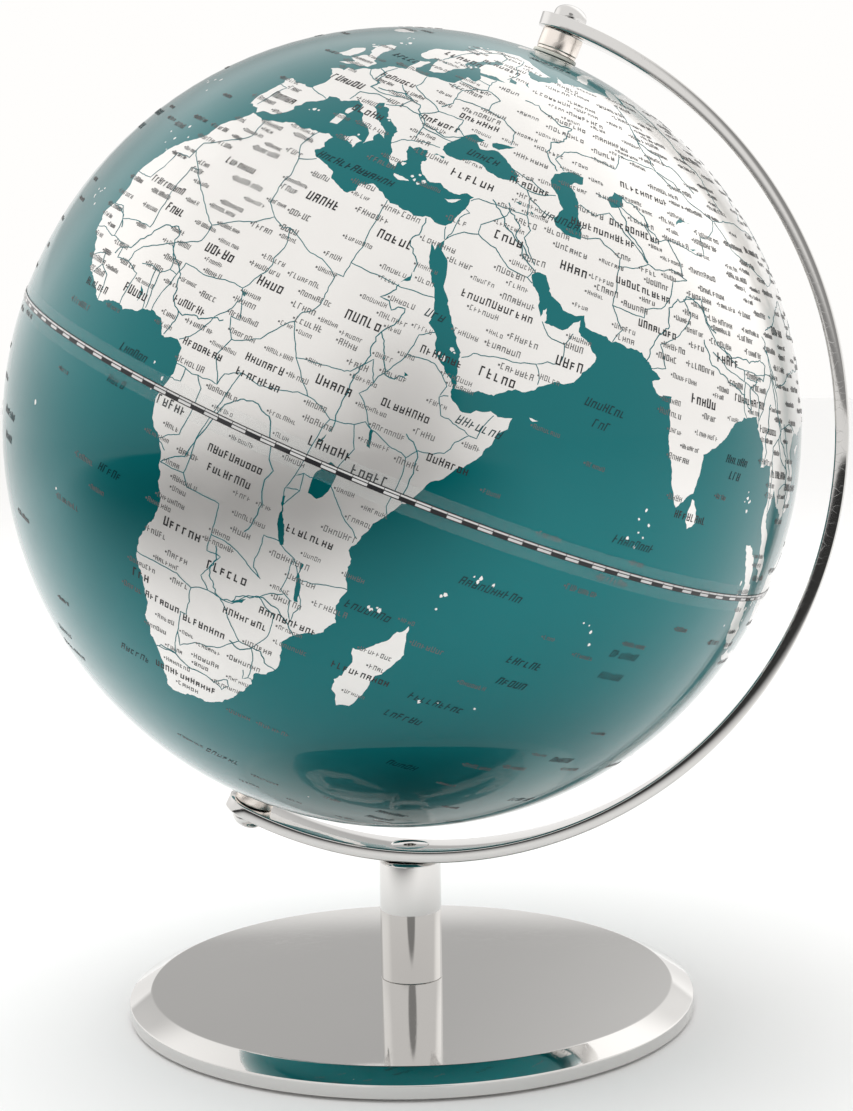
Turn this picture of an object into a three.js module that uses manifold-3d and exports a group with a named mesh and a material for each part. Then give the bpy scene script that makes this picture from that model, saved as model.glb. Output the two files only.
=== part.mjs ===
// Desktop globe on a stand: a hollow two-piece ball that spins on a tilted axis, held at
// its poles by a flat half-circle arm, on a short stem and a heavy bevelled disc.
// Millimetres, +Z up. The origin is the centre of the underside, and the arm's plane is XZ.
import * as THREE from "three";
import { mergeVertices } from "three/addons/utils/BufferGeometryUtils.js";
import Module from "manifold-3d";

const wasm = await Module();
wasm.setup();

// Driving dimensions
const FACE_GAP = 0.3; // between pieces that touch face to face
const BORE_GAP = 0.3; // radial, between a shank and its hole

const BALL_R = 125; // printed surface of the ball
const SHELL_WALL = 2;
const SEAM_RING_H = 12;
const SEAM_RING_T = 1.5;
const TAPE_W = 8;
const TAPE_T = 0.3;
const AXIS_TILT = 23.5; // degrees from upright, leaning to +X

const ARM_CLEARANCE = 8; // from the ball to the arm's circle
const ARM_OFFSET = 2.4; // the arm's centre from the ball's, at right angles to the axis
const ARM_T = 4;
const ARM_W = 16.5;

const AXLE_R = 2.5;
const AXLE_DEPTH = 8; // how far an axle reaches into the ball
const BUSH_WALL = 1.4;
const BUSH_FLANGE_R = 7;
const BUSH_FLANGE_T = 0.8;
const THRUST_WASHER_R = 6.2;
const THRUST_WASHER_T = 0.6;
const SPACER_R = 6.5;
const CAP_R = 5.2;
const CAP_SKIRT_H = 1.2;
const CAP_DOME_H = 3.2;
const CAP_ROOF = 1.4; // metal over the end of the axle

const PAD_R = 87;
const PAD_T = 0.7;
const BASE_R = 91.5;
const BASE_T = 7.1;
const BEVEL_W = 7.1;
const BEVEL_H = 3.1;
const STEM_R = 10;
const STEM_H = 39;
const STEM_CHAMFER = 0.8;

const SCREW_R = 3; // shank of the two M6 screws
const SCREW_HEAD_R = 6;
const SCREW_REACH = 14; // into the stem
const SOCKET_AF = 4;
const SOCKET_DEPTH = 1.6;
const BOLT_HEAD_R = 5;
const BOLT_HEAD_H = 2.4;
const BOLT_WASHER_R = 6;
const BOLT_WASHER_T = 0.6;

// Facets
const BALL_SEGMENTS = 60;
const BALL_RINGS = 12;
const BASE_SEGMENTS = 72;
const ROUND_SEGMENTS = 32;
const ARM_STEPS = 54;

// Places that follow from the driving dimensions
const SHELL_INNER_R = BALL_R - SHELL_WALL;
const HOLE_R = AXLE_R + BORE_GAP; // every hole that an axle passes through
const BUSH_R = HOLE_R + BUSH_WALL;
const POLE_HOLE_R = BUSH_R + BORE_GAP; // in the ball's shells
const ARM_INNER_R = BALL_R + ARM_CLEARANCE;
const ARM_OUTER_R = ARM_INNER_R + ARM_T;
const BASE_Z = PAD_T + FACE_GAP;
const BASE_TOP_Z = BASE_Z + BASE_T;
const STEM_Z = BASE_TOP_Z + FACE_GAP;
const STEM_TOP_Z = STEM_Z + STEM_H;
const TILT = THREE.MathUtils.degToRad(AXIS_TILT);
const ARM_Z = STEM_TOP_Z + FACE_GAP + ARM_OUTER_R;
const BALL_Z = ARM_Z + ARM_OFFSET * Math.sin(TILT);
const SCREW_HOLE_R = SCREW_R + BORE_GAP;
const COUNTERBORE_R = BOLT_WASHER_R + 1;
const COUNTERBORE_H = FACE_GAP + BOLT_WASHER_T + FACE_GAP + BOLT_HEAD_H + 0.6;

// Height of a sphere's surface at a distance from its axis
const sphereAt = (radius, offset) => Math.sqrt(radius * radius - offset * offset);

// Materials
const chrome = new THREE.MeshStandardMaterial({ color: 0xd6d4cf, roughness: 0.06, metalness: 1 });
const nickel = new THREE.MeshStandardMaterial({ color: 0xb5a69b, roughness: 0.28, metalness: 1 });
const steel = new THREE.MeshStandardMaterial({ color: 0x9c9c9a, roughness: 0.35, metalness: 1 });
const print = new THREE.MeshStandardMaterial({ color: 0x1c7278, roughness: 0.12, metalness: 0.3 });
const tapeFilm = new THREE.MeshStandardMaterial({ color: 0x2b6f73, roughness: 0.1, metalness: 0 });
const nylon = new THREE.MeshStandardMaterial({ color: 0xe4e0d6, roughness: 0.5, metalness: 0 });
const foam = new THREE.MeshStandardMaterial({ color: 0x26262a, roughness: 0.95, metalness: 0 });

// A solid of revolution about Z from [radius, height] points that run anticlockwise
function turned(points, segments) {
  const profile = points.map(([r, z]) => new THREE.Vector2(r, z));
  return new THREE.LatheGeometry(profile, segments).rotateX(Math.PI / 2);
}

// A washer, sleeve or tube between two heights
function tube(innerR, outerR, low, high, segments = ROUND_SEGMENTS) {
  return turned([[innerR, low], [outerR, low], [outerR, high], [innerR, high], [innerR, low]], segments);
}

// A plain round bar between two heights
function bar(radius, low, high, segments = ROUND_SEGMENTS) {
  return turned([[0, low], [radius, low], [radius, high], [0, high]], segments);
}

// A hexagonal prism between two heights, across its flats
function hexagon(acrossFlats, low, high) {
  return new THREE.CylinderGeometry(acrossFlats / Math.sqrt(3), acrossFlats / Math.sqrt(3), high - low, 6)
    .rotateX(Math.PI / 2)
    .translate(0, 0, (low + high) / 2);
}

// Points along a circle's arc, from one angle to another, in radians
function arc(radius, from, to, steps) {
  return Array.from({ length: steps + 1 }, (_, i) => {
    const angle = from + ((to - from) * i) / steps;
    return [radius * Math.cos(angle), radius * Math.sin(angle)];
  });
}

function toSolid(geometry) {
  const bare = geometry.clone();
  bare.deleteAttribute("normal");
  bare.deleteAttribute("uv");
  const merged = mergeVertices(bare, 1e-4);
  const mesh = new wasm.Mesh({
    numProp: 3,
    vertProperties: new Float32Array(merged.attributes.position.array),
    triVerts: new Uint32Array(merged.index.array),
  });
  return new wasm.Manifold(mesh);
}

function toGeometry(solid) {
  const mesh = solid.getMesh();
  const geometry = new THREE.BufferGeometry();
  geometry.setAttribute("position", new THREE.BufferAttribute(mesh.vertProperties, 3));
  geometry.setIndex(new THREE.BufferAttribute(mesh.triVerts, 1));
  geometry.computeVertexNormals();
  return geometry;
}

// A geometry with others cut out of it
function cut(geometry, ...tools) {
  return toGeometry(tools.reduce((left, tool) => left.subtract(toSolid(tool)), toSolid(geometry)));
}

// Half of the ball, from the seam to the pole hole
function halfBall() {
  const seamAngle = Math.asin(FACE_GAP / 2 / BALL_R);
  const innerSeamAngle = Math.asin(FACE_GAP / 2 / SHELL_INNER_R);
  const outer = arc(BALL_R, seamAngle, Math.acos(POLE_HOLE_R / BALL_R), BALL_RINGS);
  const inner = arc(SHELL_INNER_R, Math.acos(POLE_HOLE_R / SHELL_INNER_R), innerSeamAngle, BALL_RINGS);
  return turned([...outer, ...inner, outer[0]], BALL_SEGMENTS);
}

// Ring glued inside the two halves across the seam
function seamRing() {
  const outerR = sphereAt(SHELL_INNER_R, SEAM_RING_H / 2) - FACE_GAP;
  return tube(outerR - SEAM_RING_T, outerR, -SEAM_RING_H / 2, SEAM_RING_H / 2, BALL_SEGMENTS);
}

// Printed tape round the outside of the seam
function equatorTape() {
  return tube(BALL_R + FACE_GAP, BALL_R + FACE_GAP + TAPE_T, -TAPE_W / 2, TAPE_W / 2, BALL_SEGMENTS);
}

// Half-circle bar round the ball, with round ends over the poles, as the ball lies with its axis upright
function arm() {
  const endAngle = (ARM_W / 2 + ARM_OFFSET) / ARM_INNER_R;
  const sweepFrom = -Math.PI / 2 - endAngle;
  const sweepTo = Math.PI / 2 + endAngle;
  const ring = [
    ...arc(ARM_OUTER_R, sweepFrom, sweepTo, ARM_STEPS),
    ...arc(ARM_INNER_R, sweepTo, sweepFrom, ARM_STEPS),
  ];
  const outline = new THREE.Shape(ring.map(([x, z]) => new THREE.Vector2(x, z)));
  const sweep = new THREE.ExtrudeGeometry(outline, { depth: ARM_W, bevelEnabled: false })
    .translate(ARM_OFFSET, 0, -ARM_W / 2)
    .rotateX(Math.PI / 2);
  const reach = 2 * ARM_OUTER_R;
  const straight = new THREE.BoxGeometry(reach, 2 * ARM_W, 2 * reach).translate(reach / 2, 0, 0);
  const ends = toSolid(bar(ARM_W / 2, -reach, reach));
  const body = toSolid(sweep).intersect(toSolid(straight).add(ends));
  const axleHole = toSolid(bar(HOLE_R, -reach, reach));
  return toGeometry(body.subtract(axleHole).subtract(toSolid(armScrewHole())));
}

// Countersunk hole where the arm sits on the stem, in the leaning frame of the arm
function armScrewHole() {
  const top = ARM_Z - ARM_INNER_R - BALL_Z;
  const seat = top - (SCREW_HEAD_R - SCREW_R);
  const clear = 4 * ARM_T;
  const profile = [
    [0, top - clear],
    [SCREW_HOLE_R, top - clear],
    [SCREW_HOLE_R, seat],
    [SCREW_HEAD_R + BORE_GAP, top],
    [SCREW_HEAD_R + BORE_GAP, top + ARM_T],
    [0, top + ARM_T],
  ];
  return turned(profile, ROUND_SEGMENTS).rotateY(-TILT);
}

// Countersunk socket screw that holds the arm down on the stem
function armScrew() {
  const top = ARM_Z - ARM_INNER_R - FACE_GAP;
  const shankTop = top - (SCREW_HEAD_R - SCREW_R);
  const foot = STEM_TOP_Z - SCREW_REACH;
  const profile = [[0, foot], [SCREW_R, foot], [SCREW_R, shankTop], [SCREW_HEAD_R, top], [0, top]];
  return cut(turned(profile, ROUND_SEGMENTS), hexagon(SOCKET_AF, top - SOCKET_DEPTH, top + 1));
}

function stem() {
  const holeDepth = SCREW_REACH + 1;
  const profile = [
    [SCREW_HOLE_R, STEM_Z],
    [STEM_R, STEM_Z],
    [STEM_R, STEM_TOP_Z - STEM_CHAMFER],
    [STEM_R - STEM_CHAMFER, STEM_TOP_Z],
    [SCREW_HOLE_R, STEM_TOP_Z],
    [SCREW_HOLE_R, STEM_TOP_Z - holeDepth],
    [0, STEM_TOP_Z - holeDepth],
    [0, STEM_Z + holeDepth],
    [SCREW_HOLE_R, STEM_Z + holeDepth],
    [SCREW_HOLE_R, STEM_Z],
  ];
  return turned(profile, ROUND_SEGMENTS);
}

// Bevelled disc with a counterbored hole for the stem bolt
function baseDisc() {
  const profile = [
    [COUNTERBORE_R, BASE_Z],
    [BASE_R, BASE_Z],
    [BASE_R, BASE_TOP_Z - BEVEL_H],
    [BASE_R - BEVEL_W, BASE_TOP_Z],
    [SCREW_HOLE_R, BASE_TOP_Z],
    [SCREW_HOLE_R, BASE_Z + COUNTERBORE_H],
    [COUNTERBORE_R, BASE_Z + COUNTERBORE_H],
    [COUNTERBORE_R, BASE_Z],
  ];
  return turned(profile, BASE_SEGMENTS);
}

// Low-head socket bolt from under the disc into the stem
function stemBolt() {
  const headTop = BASE_Z + COUNTERBORE_H - FACE_GAP - BOLT_WASHER_T - FACE_GAP;
  const foot = headTop - BOLT_HEAD_H;
  const tip = STEM_Z + SCREW_REACH;
  const profile = [[0, foot], [BOLT_HEAD_R, foot], [BOLT_HEAD_R, headTop], [SCREW_R, headTop], [SCREW_R, tip], [0, tip]];
  return cut(turned(profile, ROUND_SEGMENTS), hexagon(SOCKET_AF, foot - 1, foot + SOCKET_DEPTH));
}

function stemBoltWasher() {
  const top = BASE_Z + COUNTERBORE_H - FACE_GAP;
  return tube(SCREW_HOLE_R, BOLT_WASHER_R, top - BOLT_WASHER_T, top);
}

// Heights along the ball's axis, from its centre, of the pieces stacked at a pole
const bushFlangeLow = BALL_R + FACE_GAP;
const bushFlangeHigh = bushFlangeLow + BUSH_FLANGE_T;
const washerLow = bushFlangeHigh + FACE_GAP;
const washerHigh = washerLow + THRUST_WASHER_T;
const spacerLow = washerHigh + FACE_GAP;
const spacerHigh = sphereAt(ARM_INNER_R, SPACER_R + ARM_OFFSET) - FACE_GAP;
const capLow = ARM_OUTER_R + FACE_GAP;
const capHigh = capLow + CAP_SKIRT_H + CAP_DOME_H;

// Flanged bush in the shell's pole hole; it turns with the ball
function poleBush() {
  const foot = SHELL_INNER_R - AXLE_DEPTH / 2;
  const profile = [
    [HOLE_R, foot],
    [BUSH_R, foot],
    [BUSH_R, bushFlangeLow],
    [BUSH_FLANGE_R, bushFlangeLow],
    [BUSH_FLANGE_R, bushFlangeHigh],
    [HOLE_R, bushFlangeHigh],
    [HOLE_R, foot],
  ];
  return turned(profile, ROUND_SEGMENTS);
}

// Domed nut outside the arm, with a blind bore for the axle's end
function capNut() {
  const bore = capHigh - CAP_ROOF;
  const shoulder = capLow + CAP_SKIRT_H;
  const dome = arc(1, 0, Math.PI / 2, 8).map(([r, h]) => [r * CAP_R, shoulder + h * CAP_DOME_H]);
  const top = [0, capHigh];
  const profile = [[HOLE_R, capLow], [CAP_R, capLow], ...dome.slice(0, -1), top, [0, bore], [HOLE_R, bore], [HOLE_R, capLow]];
  return turned(profile, ROUND_SEGMENTS);
}

function axle() {
  return bar(AXLE_R, BALL_R - AXLE_DEPTH, capHigh - CAP_ROOF - FACE_GAP);
}

function named(name, geometry, material) {
  const mesh = new THREE.Mesh(geometry, material);
  mesh.name = name;
  return mesh;
}

// The pieces at one pole, along +Z of the returned group
function poleSet(pole) {
  const group = new THREE.Group();
  group.add(
    named(`${pole}_pole_bush`, poleBush(), nylon),
    named(`${pole}_thrust_washer`, tube(HOLE_R, THRUST_WASHER_R, washerLow, washerHigh), steel),
    named(`${pole}_spacer`, tube(HOLE_R, SPACER_R, spacerLow, spacerHigh), nickel),
    named(`${pole}_axle`, axle(), steel),
    named(`${pole}_cap_nut`, capNut(), chrome),
  );
  return group;
}

const stand = new THREE.Group();
stand.add(
  named("base_pad", bar(PAD_R, 0, PAD_T, BASE_SEGMENTS), foam),
  named("base_disc", baseDisc(), chrome),
  named("stem_bolt_washer", stemBoltWasher(), steel),
  named("stem_bolt", stemBolt(), steel),
  named("stem", stem(), chrome),
  named("arm_screw", armScrew(), chrome),
);

// Everything that is centred on the ball and leans with its axis
const tilted = new THREE.Group();
tilted.position.z = BALL_Z;
tilted.rotation.y = TILT;
const northShell = named("north_shell", halfBall(), print);
const southShell = named("south_shell", halfBall(), print);
southShell.rotation.x = Math.PI;
const northPole = poleSet("north");
const southPole = poleSet("south");
southPole.rotation.x = Math.PI;
tilted.add(
  northShell,
  southShell,
  named("seam_ring", seamRing(), nylon),
  named("equator_tape", equatorTape(), tapeFilm),
  named("arm", arm(), chrome),
  northPole,
  southPole,
);

const globe = new THREE.Group();
globe.add(stand, tilted);

export default globe;
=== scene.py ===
"""Desktop globe: the looks of the printed ball, the bright metal stand and the desk they stand on.

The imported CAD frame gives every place. Lengths are metres, and the ball's axis leans to +X.
"""

import math
import random

import bmesh
import bpy
import numpy as np
from mathutils import Matrix, Vector
from mathutils.geometry import delaunay_2d_cdt


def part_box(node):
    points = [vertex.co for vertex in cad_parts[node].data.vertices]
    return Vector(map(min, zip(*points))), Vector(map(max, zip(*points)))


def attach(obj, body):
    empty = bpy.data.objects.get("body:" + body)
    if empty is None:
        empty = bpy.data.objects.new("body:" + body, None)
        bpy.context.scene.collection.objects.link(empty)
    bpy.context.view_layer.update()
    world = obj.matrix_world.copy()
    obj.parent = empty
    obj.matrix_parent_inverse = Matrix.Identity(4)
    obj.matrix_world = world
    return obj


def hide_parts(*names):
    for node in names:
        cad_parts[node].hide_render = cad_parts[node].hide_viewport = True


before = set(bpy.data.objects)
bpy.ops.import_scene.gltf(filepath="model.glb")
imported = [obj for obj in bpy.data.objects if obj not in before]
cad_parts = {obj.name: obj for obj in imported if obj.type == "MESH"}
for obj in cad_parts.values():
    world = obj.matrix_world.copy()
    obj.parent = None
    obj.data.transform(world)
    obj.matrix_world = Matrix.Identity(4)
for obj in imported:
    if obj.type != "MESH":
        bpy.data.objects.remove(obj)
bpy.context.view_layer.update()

MM = 0.001

# The ball
BALL_R = 125 * MM
WALL = 2 * MM
AXIS_TILT = math.radians(23.5)
POLE_HOLE_R = 4.5 * MM
TURN = math.radians(-117.4)  # turn of the printed map about the ball's axis
INK_LIFT = 0.03 * MM  # printed marks over the ball's surface
NORTH_SHEET = (0.988, 1.72)  # how each map sheet is stretched, and its shift in degrees beside the seam
SOUTH_SHEET = (1.105, 1.536)
RING_STEP = 3.0  # degrees between rings of the ball's mesh
SEAM_POINTS = 720
POLE_HOLE_POINTS = 48
SEAM_HALF_GAP = 0.15 * MM
SKIN_FACING = 0.7  # a face turned less than this towards or from the middle is an edge wall
PAST_SEAM = 4  # degrees that a half's outlines run past the seam
DEGREE = math.radians(1) * BALL_R  # length of a degree on the ball
TAPE_LIFT = 0.05 * MM
TAPE_T = 0.09 * MM
TAPE_HALF_W = 4 * MM
SCALE_LIFT = 0.16 * MM  # the graduated line over the ball's surface

# The stand
ARM_R = 133 * MM
ARM_T = 4 * MM
ARM_W = 16.5 * MM
ARM_OFFSET = 2.4 * MM
BASE_R = 91.5 * MM
BASE_Z = 1.0 * MM
BASE_TOP = 8.1 * MM
BEVEL_W = 7.1 * MM
BEVEL_H = 3.1 * MM
STEM_R = 10 * MM
SCREW_R = 3 * MM  # shanks of the two screws
SCREW_HOLE_R = 3.3 * MM
SCREW_HOLE_DEPTH = 15 * MM
COUNTERBORE_R = 6.3 * MM
AXLE_HOLE_R = 2.8 * MM
PAD_R = 87 * MM
PAD_T = 0.9 * MM

# The pivots
BUSH_R = 4.2 * MM
BUSH_DEPTH = 5 * MM
FLANGE_R = 7 * MM
STEP_R = 6.3 * MM
SLEEVE_R = 6.5 * MM
CAP_R = 5.2 * MM
CAP_RIM = 1.3 * MM  # the straight edge below a cap's dome
CAP_DOME = 3.2 * MM
CAP_BORE = 3 * MM

STEM_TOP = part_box("stem")[1].z
SCREW_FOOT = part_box("arm_screw")[0].z
COUNTERBORE_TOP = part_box("stem_bolt_washer")[1].z + 0.3 * MM
BALL_Z = 185.657 * MM
BALL_MIDDLE = Vector((0, 0, BALL_Z))
LEAN = Matrix.Translation((0, 0, BALL_Z)) @ Matrix.Rotation(AXIS_TILT, 4, "Y")


# ---------------------------------------------------------------- the map
# Outlines as longitude,latitude in degrees, east and north positive. Only roughly true to the world.

LANDS = {
    "africa": """-6,35.8 -3,35.3 -1,35.8 3,36.8 7.5,37 10,37.3 11,37 10.5,35.8 11.1,35.2 10.1,34.2 11.2,33.3
        13.2,32.9 15.2,32.3 15.7,31.3 18,30.5 19.2,30.3 20.1,31 20,32.2 21.7,32.9 23.1,32.3 25,31.6 27.3,31.2
        29.5,30.9 31,31.5 32.4,31.3 33,30.5 32.6,29.9 33.6,28 34,26.6 35.5,24 37.1,21.3 37.4,18.8 38.6,18
        39.5,15.6 41.2,14.6 43.1,12.6 43.3,11.5 44.9,10.4 47.5,11.2 49.5,11.3 51.3,11.8 51.2,10.4 50,8 48.3,5
        46,2.4 43.3,0 42,-1 40.3,-2.6 39.6,-4.2 38.8,-6.2 39.5,-7 39.6,-9 40.5,-10.7 40.7,-14.8 39.1,-16.9
        37,-17.9 35,-19.9 35.5,-22 35.4,-24 32.9,-25.6 32.8,-27.5 32,-29 30.5,-31 28,-33 25.7,-34 22.5,-34.1
        20,-34.8 18.4,-34.2 18.3,-32.8 17.2,-30 16.4,-28.6 15.2,-26.8 14.5,-23 13.5,-21 11.8,-18 11.8,-16
        13.5,-12.5 13.8,-11 13.2,-8.8 12.3,-6 11.8,-4.6 9.3,-2.2 8.8,-0.7 9.4,0.4 9.8,2.5 9.6,4 8.5,4.7
        7,4.4 6,4.3 5,5.8 3.4,6.4 1.2,6.1 -2,4.8 -4.5,5.2 -7.6,4.4 -9.3,5.6 -11.4,6.9 -13.2,8.5 -13.7,9.6
        -15,11 -16.7,12.4 -16.8,13.4 -17.5,14.7 -16.5,16 -16.2,18 -16.3,19.4 -17,21 -16,23.7 -14.8,25.8
        -13,27.7 -11,28.8 -9.7,30 -9.3,32.3 -7.6,33.6 -6.3,35""",
    "eurasia": """32.3,31.2 34.2,31.3 35,32.8 35.8,34.6 35.8,36.2 36.2,36.7 34.6,36.7 34,36.2 32.4,36.1 30.6,36.8
        29.1,36.3 27.4,37 26.3,38.3 26.7,39.4 26.1,40 26,40.8 24.4,40.8 23.7,40.2 22.9,40.4 23,39.3 24,38.2
        23.6,37.8 22.9,37.4 23.1,36.5 22.4,36.6 21.7,36.9 21.2,37.9 20.8,38.8 20,39.7 19.4,40.6 19.5,41.8
        18.4,42.5 16,43.6 14.8,45 13.7,45 13.2,45.7 12.3,45.3 12.4,44.2 13.6,43.5 14.3,42.4 16.1,41.8 17.9,40.7
        18.4,39.9 17,40.5 16.6,39.7 17.1,39 16,37.9 15.8,39.4 15.2,40.1 14.2,40.8 12.3,41.7 10.6,42.8 10.2,43.9
        8.8,44.4 7.4,43.7 6.2,43.1 4.5,43.4 3.1,43.1 3.2,42.3 2.2,41.4 0.6,40.7 -0.3,39.4 0.2,38.8 -0.7,37.7
        -2.1,36.8 -4.4,36.7 -5.6,36 -6.4,36.8 -8.9,37 -9.4,38.7 -8.8,41 -9.2,43 -8,43.7 -4,43.5 -1.8,43.4
        -1.2,44.8 -1.2,46 -2.5,47.3 -4.6,48.1 -3,48.8 -1.6,48.7 -1.8,49.7 0.1,49.5 1.6,50.8 4,51.6 4.8,53 7,53.5
        8.6,53.9 8.3,55.5 8.2,57 10.5,57.7 10.3,56.2 9.8,55 11,54.2 14.2,54 16.6,54.5 18.8,54.5 20.5,54.9
        21.1,56.2 21.5,57.5 24,57.1 24.3,58.5 23.5,59.2 28,59.6 30.2,59.9 27,60.5 22.9,59.9 21.3,61 21.5,63
        25.3,65 22.2,65.7 21,64 17.5,62 17.2,60.7 18.8,60 18.6,59.3 16.7,58 16.4,56.7 14.3,55.5 12.9,55.5
        11.3,58.5 10.6,59.4 8,58.1 5.7,58.7 5,60.5 5.2,62 9,63.6 12,65.5 14.5,68 18,69.6 25.7,71.1 31,70.3
        33,69.3 41,67.3 38,66.1 33,66.6 35,64.3 38,64 40.5,64.9 44,66.2 43.4,68.6 46,67 53,68.5 60,69 65,69.2
        67,68.8 69,72.8 73,71.4 73.5,68 75,72.8 80.5,73.5 87,75 98,76.3 104,77.7 113,75.8 106,73.4 113,73.7
        127,73 131,71 140,72.5 150,71.2 160,69.7 170,69.8 178,69.2 190,66.1 187,64.5 181,65.2 178.5,64.2
        179.5,62.4 170.3,60 163.5,59.8 162.5,56.2 160,53 156.7,51 155.7,54.5 157,58 163.5,62.3 160,61.5
        154.5,59.6 148,59.4 142,59.2 135.5,54.7 141,53.2 140.4,48.5 135.5,44.2 131.9,43.1 129.7,41.5 127.5,39.6
        129.4,37 129.2,35.2 126.4,34.4 126.5,37.2 125,38 124.5,40 121.3,38.8 121.8,40.8 118,39 119,37.4
        122.5,37.2 119.3,35 121.9,31.8 121.7,29 119.5,25.5 116.8,23.2 114,22.3 110.4,21.2 108,21.5 106.5,20
        105.7,18.7 108.3,16 109.3,12.8 108,10.8 106.7,10.3 105,8.7 105,10.3 103,11 101,12.7 100.3,13.5 99.3,10
        100.3,8.3 101.9,6.5 103.4,4 104.2,1.4 103.4,1.4 101.3,2.9 100.3,5.6 98.5,8.2 98.6,12 97.7,16.4 96.2,16.5
        94.4,16 94.6,18.5 92.3,20.8 91.8,22.4 90.3,22 88.2,21.7 87,21 85.2,19.6 82.3,16.7 80.2,15.5 80.3,13.1
        79.9,10.4 78.2,8.9 77.5,8.1 76.3,9.9 74.8,13 73.3,17 72.8,19.2 72.7,21.2 71,20.8 69,22.2 70.3,22.9
        68.7,23.6 67,24.8 66.6,25.3 61.6,25.1 57.3,25.7 56.8,27.1 54.5,26.6 51.5,27.9 50.8,29 50,30.2 48.7,30.2
        48,29.6 48.6,28.2 50.1,26.6 50.8,24.8 50.9,25.7 51.3,26.1 51.6,25 51.5,24.3 54.2,24.2 55.3,25.3
        56.4,26.3 56.5,24.8 58.6,23.6 59.8,22.5 58.7,20.4 57.8,19 56.3,17.9 54,17 52.2,15.6 49,14.2 45,12.8
        43.4,12.6 42.8,15 42.6,16.5 40.8,19 39.1,21.4 37.2,24.8 35.2,28 35,29.5 34.3,27.7 33.2,28.8 32.5,29.9
        31,30.5""",
    "north_america": """-168,65.6 -162,66.5 -166.5,68.4 -156.6,71.3 -145,70 -135,69 -128,70.2 -120,69.7 -115,68
        -108,68 -100,68.2 -95,68.5 -94,71.8 -90,69.5 -86,67.5 -82,69.5 -82,67 -87,64.3 -94,61 -94.5,58.7
        -92.5,57 -85,55.3 -82.2,52.9 -80,51.3 -79,54 -77,57 -78.2,60 -77.5,62.5 -72,61.5 -69.5,59 -65,60.2
        -62,57 -57,53 -59,50.8 -66,50.2 -70,47.2 -65,49.2 -64.5,46.5 -61,45.6 -65.5,43.5 -67,45 -70.2,43.5
        -70.6,41.7 -74,40.6 -75.5,38 -76,36.9 -75.6,35.2 -79,33.4 -81.2,31.3 -80,26.8 -80.6,25.2 -81.8,26.3
        -82.8,28.3 -84.3,30 -89.2,30.3 -90,29.2 -94.5,29.5 -97.2,27.8 -97.6,23 -96,19.2 -94.4,18.2 -90.8,19
        -90.2,21.1 -87,21.5 -88,18.3 -88.7,15.8 -83.2,15 -83.6,11 -82,9 -79.8,9.5 -77.3,8.6 -78,8.3 -80,7.4
        -83,8.3 -85.8,10.5 -87.6,13 -92,14.5 -95,16 -99.8,16.8 -105.5,20 -106.5,23.5 -109.4,26.5 -112.7,30.5
        -114.7,31.7 -112.7,28 -110.5,24.5 -109.5,23 -112,25 -114.8,28 -116,30.5 -117.2,32.7 -120.6,34.6
        -122.4,37.5 -124.3,40.3 -124,46 -124.6,48.4 -122.5,48.5 -127.5,51 -130,54.8 -134,58 -139,60 -148,60.5
        -151.5,59.3 -154,57.8 -158,56 -163.5,54.8 -160,56.5 -157.5,58.8 -162,59 -165.5,61.5 -164.5,63 -161,64.5
        -166,64.5""",
    "south_america": """-79,9.2 -77.3,8.6 -75.5,10.6 -74.9,11.2 -71.7,12.4 -71,11 -68,11 -64,10.3 -62,10.6 -60,8.5 -57,6
        -52,4.8 -50,1.5 -48,-0.8 -44,-2.5 -39,-3 -35.3,-5.3 -35,-8.5 -38.9,-13 -39.2,-17.5 -41,-22 -44.7,-23.1
        -48.5,-26 -49,-28.7 -52.3,-32.5 -54.9,-34.9 -58.3,-34 -56.8,-36.4 -62,-39 -65,-41 -63.7,-42.7
        -67.5,-46 -65.9,-47.9 -69,-51 -68.4,-52.4 -65.2,-54.7 -69,-55.4 -73.5,-52.8 -75.5,-49 -74.3,-45
        -73.5,-41.5 -73.5,-37.2 -71.5,-32 -70.3,-25 -70.4,-18.5 -76.2,-14 -79.5,-8 -81.2,-5 -80.4,-2.8
        -80,0.6 -78,2.5 -77.3,6.5 -78,8.3""",
    "australia": """113.4,-24 114.2,-22 117,-20.7 121.5,-18.5 122.3,-17 125.5,-14.2 128.5,-14.9 130.2,-12.9
        132.6,-11.4 136.8,-12.2 135.8,-15 139.2,-17.5 141.5,-15 142.4,-10.8 143.8,-14.4 145.4,-15 146.3,-19
        149.4,-21.5 153,-25 153.6,-28.6 152,-32.5 150,-37.2 146.5,-38.9 144.5,-38.2 140.6,-38 138.2,-35.6
        137.9,-33 135.5,-34.8 131.3,-31.5 126,-32.3 123.5,-34 118,-35 115.1,-34.3 115.8,-32 114,-28 113.3,-26""",
    "antarctica": """-60,-63.5 -57,-63.3 -61,-66 -64,-70 -61,-74 -50,-77.5 -35,-78 -20,-73.5 0,-70 20,-70 40,-69
        55,-66.5 70,-69 80,-68 100,-66 115,-66.5 135,-66.3 150,-68.5 165,-71 163,-77.5 180,-78 200,-78
        205,-76.5 215,-74.5 240,-74 255,-73 265,-73 285,-73 290,-69 295,-65.5""",
    "greenland": """-45,60 -42,62.5 -37,65.7 -25,69 -22,72 -20,76 -18,80 -30,83.4 -45,82.5 -60,82 -67,80.3
        -72,78.3 -66,76 -58,75.5 -54.5,72 -53.5,68 -52,64 -48,61""",
    "madagascar": """49.3,-12 50.4,-15.6 49.4,-18 48,-22 47,-25 45.3,-25.6 43.7,-23.5 43.4,-22 44.4,-20 44,-17
        46.3,-15.8 48,-13.6""",
    "great_britain": """-5.7,50.1 -3.5,50.3 1.4,51.2 1.7,52.7 0.2,53 -1.2,54.7 -1.8,57.5 -3,58.6 -5,58.5 -6.2,56.7
        -4.9,55 -3,54 -4.5,53.2 -5.2,51.9 -3,51.4""",
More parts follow.
